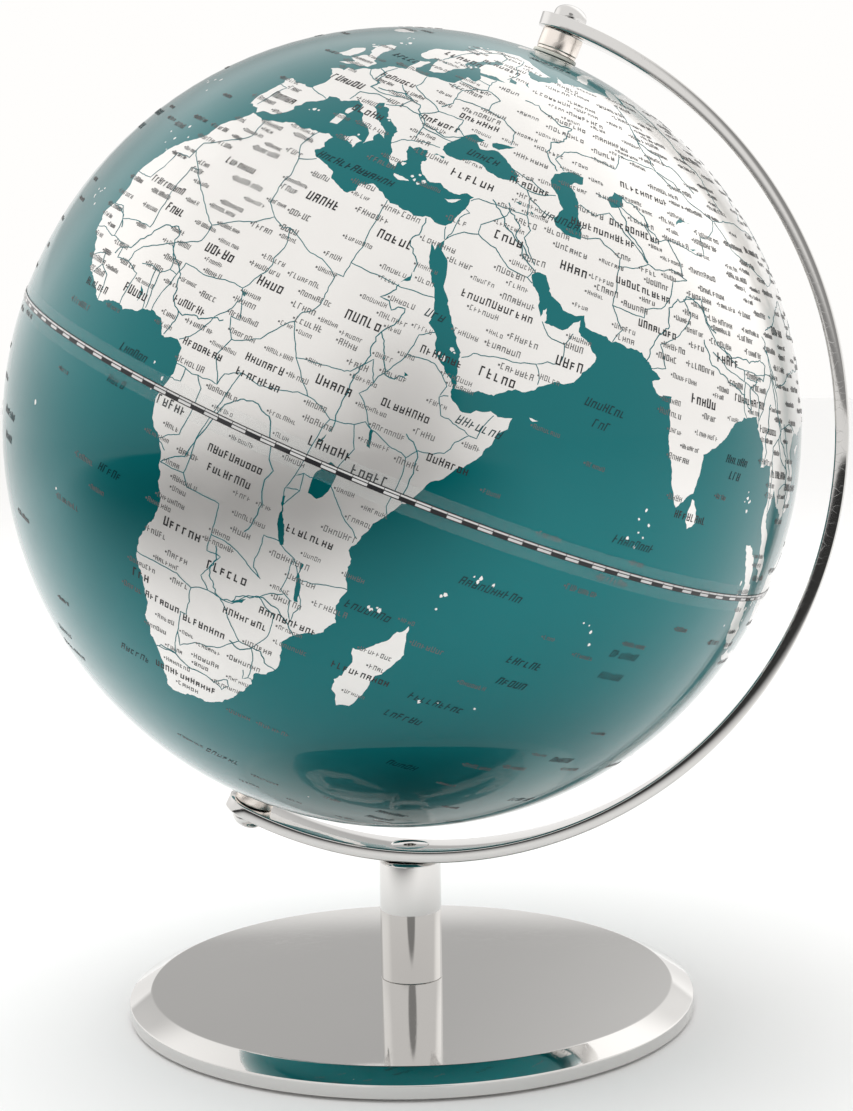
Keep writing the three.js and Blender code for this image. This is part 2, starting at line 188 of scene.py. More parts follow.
    "ireland": "-6.3,52.2 -6,54.2 -7.5,55.3 -10,54.2 -9.9,51.8",
    "iceland": "-24,65.5 -22,64 -18.7,63.4 -13.6,65 -16,66.5 -20,65.7 -22,66.4",
    "svalbard": "11,79 16,76.6 22,78.4 27,79.8 18,80.4",
    "novaya_zemlya": "52,71 57,70.7 60,74 69,76.7 60,76 54,73.5",
    "sicily": "12.4,38 15.6,38.2 15.1,36.7 13,37.4",
    "sardinia": "8.2,39 9.6,39.2 9.6,41 8.2,41",
    "corsica": "8.6,42.4 9.4,43 9.5,41.5 8.8,41.5",
    "crete": "23.5,35.5 26.2,35.3 25,34.9 23.6,35.2",
    "cyprus": "32.3,34.9 34.6,35.7 34,35 33,34.6",
    "sri_lanka": "79.8,8 80,9.7 81.3,8.5 81.8,7 80.6,5.9 79.9,6.8",
    "socotra": "53.3,12.6 54.5,12.6 53.8,12.3",
    "sumatra": "95.3,5.6 97.5,5.2 100.3,2.5 103.6,-1 106,-3 105.8,-5.8 104.3,-5.8 102,-3.8 100.3,-0.9 98.6,1.7",
    "java": "105.3,-6.8 106.9,-6 108.6,-6.7 110.9,-6.4 112.7,-7 114.5,-7.8 114.4,-8.7 110,-8.2 106.5,-7.4",
    "borneo": """109,1.8 111.3,2.5 113,3.2 115,5.2 117,7 119.2,5.2 117.7,3.5 118.9,1 117.5,0 116.2,-3.8 114.5,-3.9
        111.8,-3.4 110,-1.5""",
    "sulawesi": """119.4,-5.5 119.6,-3.5 118.8,-2.8 119.8,0.5 121,1.3 125,1.6 123.5,0.4 120.3,0.4 120.2,-1
        121.5,-0.9 123.3,-0.8 121.7,-2 122.3,-3.3 122.8,-4.7 121.5,-4.5 120.9,-3 120.3,-3 120.4,-5.6""",
    "new_guinea": """131,-0.8 134,-0.8 134.9,-3.3 138,-1.7 141,-2.6 144.5,-3.9 147.8,-6 147,-6.8 150.8,-10.4
        147.5,-9.5 143.5,-8.5 142.5,-9.3 139,-8.2 138,-6 135,-4.4 132.8,-4 132,-2.8""",
    "luzon": "120.3,16 120.6,18.5 122.2,18.4 121.6,16 124,13 122,13.8 120.6,13.9",
    "mindanao": "122,7 123.5,8.7 125.5,9.8 126.4,7 125.6,5.7 124,6.8",
    "visayas": "122,10.5 124.5,12.5 125.4,11.2 124,9.6 122.6,9.2",
    "palawan": "117.2,8.5 119.4,11.3 119.2,10.2 117.6,8.4",
    "timor": "123.6,-10.3 125,-8.9 127.2,-8.4 125.5,-9.5",
    "seram": "128,-3.3 130.8,-3.2 130.4,-3.8 128.4,-3.6",
    "halmahera": "127.5,0.8 127.9,2.1 128.6,1 128,-0.6",
    "taiwan": "120.1,23 121.5,25.2 121,22",
    "hainan": "108.7,19.2 111,19.9 109.6,18.3",
    "honshu": """130.9,33.9 132.5,35.5 136,36 137.2,37.4 138.6,37.4 139.8,38.8 140,40.5 141.3,41.4 142,39.6
        140.9,38 140.8,35.7 139,35 136.8,34.4 135.8,33.5 135.1,34.6 132.4,34.2""",
    "kyushu": "129.8,33.3 131,33.8 131.9,32.8 130.7,31.1 130.2,32",
    "hokkaido": "140,41.5 140.5,43.3 141.7,45.4 145.3,43.3 143.2,42",
    "sakhalin": "142,46 142,50 143,54.3 143.3,51 144.7,49 143.5,46.8",
    "tasmania": "144.7,-40.8 148.2,-40.9 147.9,-43.2 146,-43.5 145.2,-42.2",
    "north_island": "173,-34.6 175.5,-36.7 178.4,-37.7 177,-39.4 175.3,-41.6 174,-39.3 174.8,-37.7",
    "south_island": "172.7,-40.6 174.2,-41.5 172.8,-43.6 170.7,-45.9 168.5,-46.6 166.6,-46 168.4,-44.1 171.3,-42.3",
    "baffin": "-62,66 -68,62.8 -72,64.5 -78,65 -72.5,68 -80,70 -88,72 -85,73.6 -77,72.8 -68,70",
    "ellesmere": "-77,79 -88,77 -95,80 -85,82.3 -65,82.5",
    "victoria_island": "-105,69 -116,69 -117,72.8 -108,73.2 -101,71",
    "banks_island": "-124,71.5 -120,74.3 -116,73 -122,71",
    "devon": "-80,75 -92,75 -96,76.5 -82,75.8",
    "newfoundland": "-59.3,47.7 -56,51.5 -53,47 -55.8,46.9",
    "cuba": "-84.9,21.9 -82,23.1 -77,21.7 -74.2,20.2 -77.7,19.9 -78,21 -82,22.3",
    "hispaniola": "-74.4,18.4 -73,19.9 -68.5,18.5 -71,17.8",
    "jamaica": "-78.3,18.4 -76.3,18.1 -77.2,17.8",
    "puerto_rico": "-67.2,18.4 -65.7,18.3 -66.5,17.9",
    "vancouver_island": "-128,50.8 -125,49.8 -123.5,48.4 -126,49.3",
    "kodiak": "-154.5,57.2 -152.5,58.3 -152.4,57.4",
    "falklands": "-61,-51.8 -59.5,-51.3 -58,-51.7 -60,-52.2",
    "new_britain": "148.5,-5.7 151.5,-5.3 152.2,-4.2 151.9,-5.6 149.7,-6.3",
    "new_caledonia": "164,-20.2 167,-22.3 165.5,-21.6",
}

WATERS = {
    "black_sea": """28,41.8 29.1,41.3 31.5,41.3 33.3,42 35.1,42 36.4,41.3 38.5,41 41.5,41.5 41.5,42.6 39.5,43.8
        37.3,44.9 36.5,45.2 35.4,45 33.6,44.4 32.5,45.3 33.6,46.1 31.5,46.6 30.7,46.2 29.7,45.2 28.6,43.8
        27.8,42.5""",
    "azov": "36.6,45.5 37.8,46.3 39.2,47.1 36.5,46.7 35,46.2 35.4,45.5",
    "marmara": "27,40.5 29,40.5 29,40.9 27.5,40.9",
    "caspian": """47.5,43 49.4,41 50.2,40.3 49,38.5 49.5,37.5 51.5,36.7 54,36.9 53.8,39 53,40 52.8,41.2 52.5,42.5
        50.5,44.4 51.3,45.2 53,45.5 53,46.8 51,47 49,46.3 47.5,45.4 47,44""",
    "aral": "58.2,45 59,43.7 61,44.4 61.7,46.3 59.5,46.5",
    "victoria": "31.7,-0.8 33,0.4 34.2,0 34,-1.5 33,-2.5 31.8,-2.3",
    "tanganyika": "29.1,-3.5 29.4,-3.4 29.9,-5.5 31.2,-8.5 30.8,-8.7 29.6,-6.6",
    "malawi": "33.9,-9.6 34.4,-9.7 34.8,-12 35.3,-14.2 34.8,-14.3 34.2,-12",
    "turkana": "35.9,4.5 36.3,4.4 36.7,2.5 36.2,2.6",
    "albert": "30.4,1.2 31.3,2.2 31,1.4",
    "tana": "37,12.2 37.6,12 37.2,11.7",
    "chad_lake": "13.5,13.4 14.7,13.6 14.4,12.8",
    "volta": "-0.3,6.5 0.1,7.6 -0.9,8.6 -0.4,7.3",
    "kariba": "27,-17.7 28.8,-16.5 28.4,-17.2",
    "nasser": "32.8,24 33.1,22.8 31.8,21.9 32.4,22.8",
    "ladoga": "30.8,60.4 32.8,60.6 32.6,61.3 30.5,61.7",
    "onega": "35,61.6 36.3,61.1 35.6,62.4",
    "vanern": "12.6,58.7 14,58.7 13.4,59.3",
    "balkhash": "73.8,45.4 76,46.4 79,46.7 75.5,46.9",
    "issyk": "76.4,42.4 78.3,42.6 77.3,42.2",
    "baikal": "103.9,51.5 106,51.9 108.6,53 109.8,55.4 108.8,54.2 106.4,52.7",
    "urmia": "45.1,38.1 45.6,37.3 45.7,37.9",
    "van": "42.4,38.5 43.5,38.7 43.2,38.3",
    "qinghai": "99.7,37 100.8,36.8 100.1,36.6",
    "superior": "-92,46.8 -89.5,48.1 -86.5,48.7 -84.6,46.6 -88,46.9",
    "michigan": "-87.6,41.8 -86.3,42 -86,45.6 -87.8,44.5",
    "huron": "-84.4,45.9 -81.5,45.9 -80,44.6 -81.6,43.3 -83.6,43.8",
    "erie": "-83.3,41.7 -79,42.7 -81,42.6",
    "ontario": "-79.6,43.3 -76.3,43.6 -78,43.8",
    "winnipeg": "-97,50.6 -96.5,52 -98.8,53.8 -98,51.5",
    "slave": "-116.5,61 -112,62.5 -110,62.7 -113.5,61",
    "bear": "-124,66 -119.5,67 -118,65.5 -122,65",
    "nicaragua": "-85.9,11.9 -85,11.1 -85.5,11.2",
    "titicaca": "-70,-15.6 -69,-16.2 -69.3,-16.4",
    "maracaibo": "-72,9.4 -71.4,10.7 -71.2,9.3",
}

# Borders and rivers, as open lines with a bar between them
BORDERS = """
    -2,35.1 -1.5,32.5 -3.6,31 -8.7,28.7 -8.7,27.3 | -8.7,27.3 -8.7,26 -12,26 -12,23.4 -13,21.3 -17,21.3 |
    -8.7,27.3 -4.8,25 1,21.2 4.2,19.2 7,20.8 12,23.5 10,25 9.9,29.5 9,32.1 | 9,32.1 7.5,34 8.3,37 | 9,32.1
    11.5,33.1 | 12,23.5 14.2,22.6 15,23 24,19.5 | 24,19.5 24,20 25,20 25,22 36.8,22 | 25,22 25,31.5 | 24,19.5
    24,15.7 22.4,14 22,12.6 | -4.8,25 -6.5,25 -5.5,15.5 -9.5,15.4 -12,14.8 -14,16.3 -16.4,16.1 | -12,14.8
    -11.4,12.4 -13.7,12.6 -16.7,12.4 | 4.2,19.2 4.2,16.9 0.2,15 | 0.2,15 -3,13.6 -5.4,11.8 -5.5,10.4 | 0.2,15
    2.2,12.4 2.2,11.9 | 3.6,11.7 4,13.5 8,13.2 13.6,13.7 | -5.5,10.4 -8,10.2 -8,12.1 -11.4,12.4 | -5.5,10.4
    -2.8,9.6 -2.9,5 | -8.2,7.6 -7.5,4.4 | -2.8,11 0.9,11 0,11.1 0.5,8.5 1.2,6.1 | 0.9,11 1.6,6.3 | 0.9,11
    2.2,11.9 3.6,11.7 2.7,7.9 2.7,6.4 | -13.3,9.1 -11,10 -10.3,8.5 -11.5,7 | -10.3,8.5 -8.2,7.6 | 13.6,13.7
    15.5,16.9 15.9,20.4 15,23 | 13.6,13.7 14.2,12.5 11,7 8.7,4.8 | 14.2,12.5 15.4,10 14,10 15.5,7.5 | 15.5,7.5
    19,9 22,12.6 | 22,12.6 24.2,8.7 27.4,5.1 | 15.5,7.5 14.5,5 16.2,2.2 13.3,2.2 9.8,2.3 | 11.3,2.3 11.3,1.1
    9.6,1 | 16.2,2.2 16.6,3.5 18.6,4.4 | 18.6,4.4 22.4,4.1 27.4,5.1 31,3.7 | 24.2,8.7 28,9.3 31,9.8 33,12.2
    34.1,9.5 33,7.8 36,4.4 | 34.1,9.5 34.3,10.5 36.5,14.3 36.9,17 38.6,18 | 36.5,14.3 40,14.5 42.4,12.5 42,11
    43,11.5 | 42,11 43,9 44,9 47,8 45,5 42,4.2 41,3 41,-0.9 41.6,-1.6 | 47,8 48,8 49,11.3 | 41,3 39.5,3.4 36,4.4
    35,5 33.9,4.2 31,3.7 | 33.9,4.2 35,1.9 33.9,0 33.9,-1 39.2,-4.7 | 33.9,-1 30.5,-1 29.6,-1.4 31,3.7 | 30.5,-1
    30.8,-2.4 29,-2.7 29.6,-1.4 | 30.8,-2.4 29.5,-4.4 29,-2.7 | 30.5,-8.3 33,-9.5 34.6,-11.6 40.4,-10.5 |
    34.6,-11.6 35.8,-14.6 35.2,-17 34.3,-14.4 32.7,-13.6 33,-9.5 | 30.5,-8.3 28.5,-8.4 28.5,-12.4 29.8,-13.4
    27,-12 24,-11 22,-11 | 22,-11 22,-13 24,-13 22,-16.2 23.4,-17.6 25.3,-17.8 27.2,-17.8 28.9,-16 30.4,-15.6
    33.2,-14 | 30.4,-15.6 32.9,-17 33,-19.9 31.3,-22.4 32,-24 32,-26.8 32.8,-26.9 | 31.3,-22.4 29.4,-22.2
    25.3,-17.8 | 29.4,-22.2 26.5,-24.5 23,-25.3 20.6,-26.8 20,-24.8 | 21,-18.3 21,-22 20,-22 20,-28.4 16.5,-28.6
    | 21,-18.3 23.4,-17.6 | 11.8,-17.3 14,-17.4 18.5,-17.4 21,-18.3 | 22,-11 21.8,-7.3 17,-7.2 16,-5.9 12.5,-6 |
    16,-5.9 16.2,-2 18.6,4.4 | 12.5,-4.6 11,-3.8 13.8,-2.4 14.4,1.3 13.3,2.2 | 29,-28.6 27,-29.8 28.4,-30.6
    29.4,-29.5 29,-28.6 | 31,-26 31.2,-27.3 32,-26.8 | 34.3,31.2 34.9,29.5 | 35.6,33.2 35.5,31 35,29.5 37,31.5
    39,32 38.8,33.4 42.3,37.2 | 35.6,33.2 36.6,34.3 35.9,34.6 | 36,36 37,36.8 42.3,37.2 44.8,37.2 | 39,32
    42,31.1 44.7,29.2 47.5,29 48,30 | 47.5,29 48.4,28.5 | 44.8,37.2 46,35.3 45.4,34 48,30.9 | 44.8,37.2
    44.4,39.7 | 51.2,24.3 52.5,22.9 55,22.6 55.8,24.3 | 55,22.6 55,20 52,19 53,16.7 | 52,19 48,18.2 44,17.4
    42.8,16.4 | 41.5,41.5 43.5,41 44.8,39.7 46.5,38.9 48.8,38.4 | 43.5,41 46.5,41.2 48.5,41.9 | 40,43.4 44,42.7
    46.5,41.8 | 54,37.3 57.3,38.2 61.2,36.6 61,33.6 60.8,29.8 63,27.2 61.7,25.2 | 60.8,29.8 66.3,29.8 66.4,31
    69.3,31.9 71.2,34.4 71.6,36.4 74.6,37.2 | 61.2,35.4 64.5,36.2 66.6,37.4 68,37 71.5,38 74.8,37.3 | 68.2,23.7
    71,24.4 69.6,27.2 73.4,29.9 74.6,31.2 75.3,32.6 73.8,34.4 77.8,35.4 | 77.8,35.4 78.7,32.5 81.2,30 86,28
    88.2,27.9 92,27.8 97,28.3 | 80.2,28.8 83.5,27.3 88.1,26.4 88.2,27.9 | 88.8,27 92,26.9 | 89,21.8 88.2,24.4
    88.4,26.4 92.2,25.1 92.4,21 | 92.6,21.9 94.6,25.2 97,28.3 98.6,24 101.1,21.6 | 101.1,21.6 100.1,20.3 98,19
    98.7,15.5 99.2,10.4 | 101.1,21.6 104.8,22.6 108,21.6 | 100.1,20.3 101.3,17.8 104.8,16.4 105.5,14.4
    102.4,13.6 102.9,11.7 | 102.2,22.4 107.5,14.5 106,11 | 56,41.3 53,42.1 | 56,41.3 58.6,42.7 61,41.2 66.5,37.4
    | 56,45 61,44.4 66,43 68,41 71,42.3 | 71,42.3 80.2,42.2 80.3,45 82.5,45.3 85.5,47.1 87.3,49.1 | 71,42.3
    73.5,39.5 73.8,37.5 | 49,46.5 47,48 48.5,50 54,51 60,50.8 61.4,54 71,54.2 77,53.3 80,50.8 87.3,49.1 |
    87.3,49.1 98,50.5 106,50.3 116.5,49.8 120,53 127,50 131,47.7 131,44.8 | 87.8,49 91,45.3 105,41.7 111.8,43.7
    119.8,46.7 116.5,49.8 | 124.3,40 128,42 130.6,42.4 | 126.6,37.8 128.3,38.6 | 27.4,42 22.9,41.4 21,40.8
    20,39.7 | 22.6,44.2 28.6,43.7 | 22.9,41.4 22.6,44.2 20.2,46.1 16.2,46.4 13.6,45.5 | 20.2,46.1 22.9,48
    28,48.2 28.2,45.5 | 29.9,45.4 28.2,46.5 | 22.9,48 18.8,49.5 14.8,51 14.3,53.9 | 12.2,50.3 14.8,48.8 17,48.2
    16.2,46.4 | 7.5,47.6 13,47.5 17,48.2 | 7,44 7,46 10.4,46.8 13.6,46.5 | 7.5,47.6 8.2,49 4,50 2.6,51.1 |
    6.1,49.5 6,51.8 7,53.3 | -1.8,43.4 3.1,42.5 | -8.8,41.9 -6.3,41.7 -7.4,37.3 | 19.6,54.4 23.4,54 23.6,51.6
    24,50.6 22.6,49.1 | 23.6,51.6 31,52 34,51.5 38,49.8 38.2,47.2 | 31,52 32,55 28,56.2 27.5,57.5 28,59.5 |
    21,56 26.5,55.7 28,56.2 | 24.3,57.9 27.4,57.6 | 23.4,54 26,55.7 | 30,61 31.5,63 29,66 29,69.5 | 24,65.8
    23.8,68 20.5,69 14,65 12,61 11.4,59 | -141,69.7 -141,60.4 -130,55.9 | -122.8,49 -95,49 -89.5,48.1 |
    -84.5,46.4 -82.5,45.3 -82.4,43 -79,43.3 -76.5,44 -74.7,45 -71.4,45 -69,47.4 -67.8,45.8 | -117,32.5 -111,31.3
    -106.5,31.8 -103,29 -99.5,27.6 -97.3,25.9 | -92.2,14.6 -91.4,17.8 -89.2,17.8 -88.4,18.4 | -89.3,14.4
    -87.5,13 | -83.7,11 -85.7,11.1 | -77.4,8.6 -77.8,7.3 | -72,11.8 -73,9 -72,7 -67.5,6.2 -67,1.5 | -78.8,1.4
    -75.3,0 -70,-4.2 -69.9,1.7 -67,1.5 | -67,1.5 -64,2 -63,4 -60.8,5.2 -60,8 | -60,5 -59.9,2 -56.5,1.9 -54.5,2.3
    -51.7,4 | -57.3,5.9 -56.5,1.9 | -54,5.6 -54.5,2.3 | -80.3,-3.4 -75.5,-1.5 -75.3,0 | -70,-4.2 -73,-7.3
    -70.6,-9.5 -69.5,-11 -69.5,-17.5 | -69.5,-11 -65.3,-10 -60,-16 -57.7,-19 -58,-22 | -69.5,-17.5 -67,-22.8
    -62.7,-22.2 -58,-22 | -62.7,-22.2 -57.7,-25.2 -54.6,-25.6 -54.3,-24 -58,-22 | -54.6,-25.6 -57.6,-30.2
    -58.3,-33.5 | -57.6,-30.2 -53.4,-33.7 | -67,-22.8 -70,-31 -71.5,-38 -72,-46 -72.3,-51 -68.5,-52.3 |
    -70,-18.3 -69.5,-17.5 | 141,-2.6 141,-9.1 | 109.6,2 115,2.5 117.6,4.2 | 129,-15 129,-31.7 | 138,-16.5
    138,-26 141,-26 141,-38 | 129,-26 138,-26 | 141,-29 149,-29 153.5,-28.2 | 141,-34 149.9,-37.5 | -120,42
    -124,42 | -120,42 -120,39 -114.6,35 | -111,42 -120,42 | -114,42 -114,37 -102,37 -102,41 -111,41 -111,45
    -104,45 -104,49 | -109,37 -109,31.4 | -103,37 -103,32 | -96.5,49 -96.6,43.5 -91,43.5 -91,40.4 -95.8,40.4 |
    -94.5,37 -94.5,33.6 -94,29.8 | -89.5,37 -91,33 -91,30 | -88,41.7 -88,37 -85,34.9 -85,31 | -84.8,41.7
    -84.8,39 | -80.5,42 -80.5,38 -83.7,36.6 | -110,49 -110,60 -102,60 -102,49 | -95,49 -95,53 -89,57 | -120,49
    -120,60 -102,60 | -124,60 -120,60 | -79.5,51.5 -79.5,47.5 -74.7,45.3
"""

RIVERS = """
    31.2,31.3 31.3,30 31,27 32.7,25.5 33,24 | 32,21.8 30.5,19.5 32.5,18.5 34,19.3 33.8,17.5 32.5,15.6 32.3,12
    31.6,9.5 31.5,5 31.5,2.5 | 32.5,15.6 34,13 35,11 37.3,11.6 | 12.4,-6 15.5,-4.2 17,-1 18.2,1 21,2.1 24,1.6
    25.5,0 26.5,-4 26,-9 | 6.2,4.5 6.7,7.8 4.5,10.5 3,13 0,16.8 -3,16.7 -6,13 -9,10.5 | 6.7,7.8 10,8 13.3,9.2 |
    36.3,-18.8 33.5,-16.3 30,-15.6 27,-17.6 24.5,-17.5 23,-15 23,-12 | -16.4,16 -13,15.5 -11,13.8 | 16.5,-28.7
    20,-28.4 24,-29.4 27,-30 | 35.4,-24 31.5,-22.3 28,-22.7 | 42.5,-0.3 42,4 40,5.5 | 48.5,30 46,31.4 43.5,34
    41,36 39,37.5 | 47,31.5 44.5,33.4 43,36.5 41.5,38 | 67.5,24.2 68.8,27.7 71,30 72,33.5 74.5,35 78,34 81,31.5
    | 90.4,22.6 88,24.7 84,25.6 80,27 78.2,30 | 90.2,23 90,26 94,27.3 95,29.5 88,29.3 82,30 | 95.4,16.2 95,20
    96.5,24.5 | 106.6,10.2 105.8,14 104,18 101,20 99,26 95,32 | 121.8,31.6 117,30.8 112,30 106.5,29.6 103,28
    99,27 95,33.5 | 119,37.6 115,35.2 110.5,35 110.5,40 106,38.5 101,35.8 97,34.6 | 47.8,46 45,48.7 48,52
    49.5,55.3 43,56.3 37,57.5 | 29.7,45.2 27,44 22.5,44.7 19,47.8 13,48.5 9,48 | 4.2,51.9 7,51 8,48.5 7.6,47.6 |
    66.8,67 69,63 69,61 73,58 80,56 84,53 | 69,61 71,55 76,52 | 82.5,71.5 87,66 89,61 92.5,56 94,52 | 127,72.5
    124,66 129.5,62.5 120,60 108,54.5 | 141,53 137,50 131,47.8 122,53 | 59.5,44.6 62,41.5 66.5,37.6 | 61,46
    66,44.5 69,41.5 | -50.5,0 -55,-2.2 -60,-3.2 -66,-3.5 -73.3,-4 -75.5,-9 | -60,-3.2 -63,-7.5 -65.3,-11 | -60,9
    -66,7.7 -67.5,4 | -58.3,-34 -58,-28 -59,-25 -57.5,-19 | -90,29.4 -91.3,33 -89.6,37 -91.4,41 -95,47 |
    -90.2,38.8 -96,41.5 -101,46.5 -108,48 -112,47 | -89.2,37 -84.5,39 -80,40.5 | -114.7,32 -114,36 -110.5,38.5
    -107,40 | -124,46.2 -119,46 -118.5,49 | -135,68.8 -130,65.5 -123,61.3 -117,61.2 | -164,62.6 -157,64 -150,65
    -141,64 | -66,50 -71.5,46.8 -76,44.3 | 139,-35.5 141,-34.2 147,-36
"""

# Where a country's row of heavy marks goes: its middle, and its number of marks
GREAT_NAMES = """
    -8,21.5,10 -3,19,4 1.5,28,7 8,16.5,5 17,28,5 29,27,5 17,15.5,4 30,16,5 8,9,7 21,6.5,7 21,4.5,8 30,7.5,5
    39,8,8 46,4,7 38,0.5,5 12.5,5,8 11.5,-0.6,5 22,-2.2,10 22,-4,8 34,-6.5,8 18,-12,6 25.5,-14.5,6 35,-17,10
    29.5,-19,8 24,-22.5,8 17,-22,7 22,-31.5,12 46.5,-20,10 45,24,12 48,15.8,5 56.5,20.5,4 43.5,33,4 54,32.5,4
    35,39.2,6 66,33.5,11 69,29,8 79,22,5 67,48.5,10 64,41.5,10 58,39.3,12 84,28.4,5 90,24,10 96,21,7 103,35,5
    103,46.5,8 95,61,6 -4,40,5 2.5,47,6 10.5,51,7 12.5,43,5 19.5,52,6 31,49,7 25,46,7 15.5,62,6 26,64,7 8.5,61,6
    101.5,15.5,8 108,14,7 138,36.2,5 114,0,9 134,-25,9 -100,40,12 -106,57,6 -102,24,6 -52,-9,6 -66,-35,9
    -71,-30,5 -75,-9,4 -64,-16.5,7 -73,4,8 -65,7.5,9 -42,72,9 -152,65,6 40,-76,10 -9,5.8,7 -1.2,7.5,5 20,16.9,3
    40.6,15.6,7 32.5,1.2,6 13,-20,3 104,12.7,8 71.5,41,10 44,41.7,7 80.8,7.4,8
"""

# The same for the lighter slanting rows on the water
SEA_NAMES = """
    63,17,7 63,14.8,3 18,34,13 35,43.3,5 88,14,3 88,16,6 51,38.5,7 2,-1,4 3,1.4,6 66,-12,6 66,-15,5 80,-8,6
    80,-11,5 -25,-12,8 -25,-15,5 -35,30,8 -35,27,5 -12,-38,5 -12,-41,8 57,-4.8,10 58,-20.5,9 44,-12,7 48,9.4,7
    38,20,3 73,2.5,8 55,-24,6 -150,10,7 -150,7,5 -150,-25,5 -150,-28,7 110,14,5 150,20,10 -65,15,9 -90,25,6
    -40,55,6 70,-45,6 70,-48,5 90,-35,6 5,56.5,5 40,73,7 150,55,7 135,40,5 160,-40,6 -20,65.8,5 12,-32,6 5,-10,5
    85,-25,5 30,-45,6 60,-32,5
"""


def points_of(text):
    """The points in a block, each with its numbers."""
    return [tuple(float(v) for v in point.split(",")) for point in text.split()]


def lines_of(text):
    """The open lines in a block."""
    return [points_of(line) for line in text.split("|")]


def printed_latitude(latitude):
    """The map sheets are stretched near the seam, so that the print meets it."""
    stretch, shift = NORTH_SHEET if latitude >= 0 else SOUTH_SHEET
    return latitude * stretch + shift * math.tanh(latitude / 2)


def on_ball(lon, lat, radius):
    """A printed point in the row frame. lon and lat are in degrees, on the ball itself."""
    around = math.radians(lon) + TURN
    up = math.radians(lat)
    local = Vector((math.cos(up) * math.cos(around), math.cos(up) * math.sin(around), math.sin(up)))
    return LEAN @ (local * radius)


def crinkle(a, b, rng, finest, share):
    """Points from a up to b along a broken, natural line."""
    width = math.cos(math.radians((a[1] + b[1]) / 2))
    length = math.hypot((b[0] - a[0]) * width, b[1] - a[1])
    if length < finest:
        return [a]
    push = rng.gauss(0, share) * min(length, 4)
    middle = (
        (a[0] + b[0]) / 2 - (b[1] - a[1]) / length * push / max(width, 0.2),
        (a[1] + b[1]) / 2 + (b[0] - a[0]) * width / length * push,
    )
    return crinkle(a, middle, rng, finest, share) + crinkle(middle, b, rng, finest, share)


def coast(points, rng, finest=0.5, share=0.085):
    """A closed outline with natural edges. finest is the shortest step, in degrees."""
    ring = []
    for a, b in zip(points, points[1:] + points[:1]):
        ring += crinkle(a, b, rng, finest, share)
    return ring


def islet(lon, lat, size, rng):
    """A speck of land."""
    sides = rng.randint(5, 7)
    stretch = 1 / max(math.cos(math.radians(lat)), 0.2)
    return [
        (
            lon + stretch * size * rng.uniform(0.6, 1.2) * math.cos(i * math.tau / sides),
            lat + size * rng.uniform(0.6, 1.2) * math.sin(i * math.tau / sides),
        )
        for i in range(sides)
    ]


# Chains of islands: middle, spread in degrees, and how many
ISLES = """
    25.5,37.5,1.6,9 27,36.5,1,4 73,4,1.2,7 55.5,-4.6,0.8,4 52,-7,2,3 43.8,-12,0.7,4 57.6,-20.3,0.15,1
    55.6,-21.1,0.15,1 -24,16,1,7 -16,28.3,1.4,6 -28,38.5,1.5,6 6.6,0.8,0.8,3 92.8,11.5,1,6 98.5,-1.5,1.6,5
    120,-8.6,3,10 128,-7,3,10 123,11,2.5,12 127,27,2,7 145,15,3,7 152,7,5,9 160,-9,3,9 167,-16,2.5,8
    178,-17.5,1.5,5 -175,-20,2,6 -172,-13.8,1,3 -150,-17,4,10 -157,20.5,1.8,6 -61.3,14.5,1.6,10 -75,23.5,2.5,10
    -90.8,-0.5,0.8,5 -174,52.5,6,12 13.5,67.8,1.5,7 -7,62,0.6,3 -7,57.3,0.8,5 -3,60,0.8,4 20,60.2,0.8,5
    15.5,43.4,1,5 15,38.7,0.5,2 3,39.6,0.7,3 150,47,3,7 60,80.5,3,8 95,79.5,2.5,5 140,75,3,5 -74,-47,2.5,14
    -98,77,5,12 105,-1,2,7 134,-6,1.5,4 -36.8,-54.3,0.6,2 70,-49,0.6,2 -132,54,1,4 23,80,1,2 168,-47,0.8,2
    51,-46.4,0.4,1 40.2,16,0.5,4 42,16.8,0.4,3 72.5,-6.5,0.8,4 63.4,-19.7,0.2,1 -5.7,-16,0.15,1 -14.4,-8,0.12,1
    129,34,1,5 122,30,0.6,3
"""


def lands_and_waters():
    """Every closed outline on the map, with natural coasts: (points, is it land)."""
    rng = random.Random(4)
    outlines = [(coast(points_of(text), rng), True) for text in LANDS.values()]
    for lon, lat, spread, count in points_of(ISLES):
        for _ in range(int(count)):
            place = (lon + rng.gauss(0, spread), lat + rng.gauss(0, spread * 0.7))
            outlines.append((islet(*place, rng.uniform(0.12, 0.32), rng), True))
    for text in WATERS.values():
        outlines.append((coast(points_of(text), rng, 0.4, 0.06), False))
    return outlines


def flat_point(lon, lat, north):
    """A map point on a plane that is centred on the pole, in degrees from it."""
    reach = 90 - lat if north else 90 + lat
    angle = math.radians(lon)
    return Vector((reach * math.cos(angle), reach * math.sin(angle)))


def is_dry(places, shores):
    """Which places on the flat plane lie on land, and not in a lake."""
    land = np.zeros(len(places), bool)
    water = np.zeros(len(places), bool)
    for ring, is_land in shores:
        near = np.nonzero(((places > ring.min(0)) & (places < ring.max(0))).all(1))[0]
        x, y = places[near, 0, None], places[near, 1, None]
        (ax, ay), (bx, by) = ring.T, np.roll(ring, -1, 0).T
        level = np.where(by == ay, 1e-12, by - ay)
        hit = ((ay > y) != (by > y)) & (x < ax + (y - ay) / level * (bx - ax))
        within = hit.sum(1) % 2 == 1
        (land if is_land else water)[near[within]] = True
    return land & ~water


def ring_points(reach, count, shift=0.0):
    """Points evenly round the pole on the flat plane."""
    angles = [(i + shift) * math.tau / count for i in range(count)]
    return [Vector((reach * math.cos(angle), reach * math.sin(angle))) for angle in angles]


def ring_edges(first, count):
    """Edges that close a ring of points."""
    return [(first + i, first + (i + 1) % count) for i in range(count)]


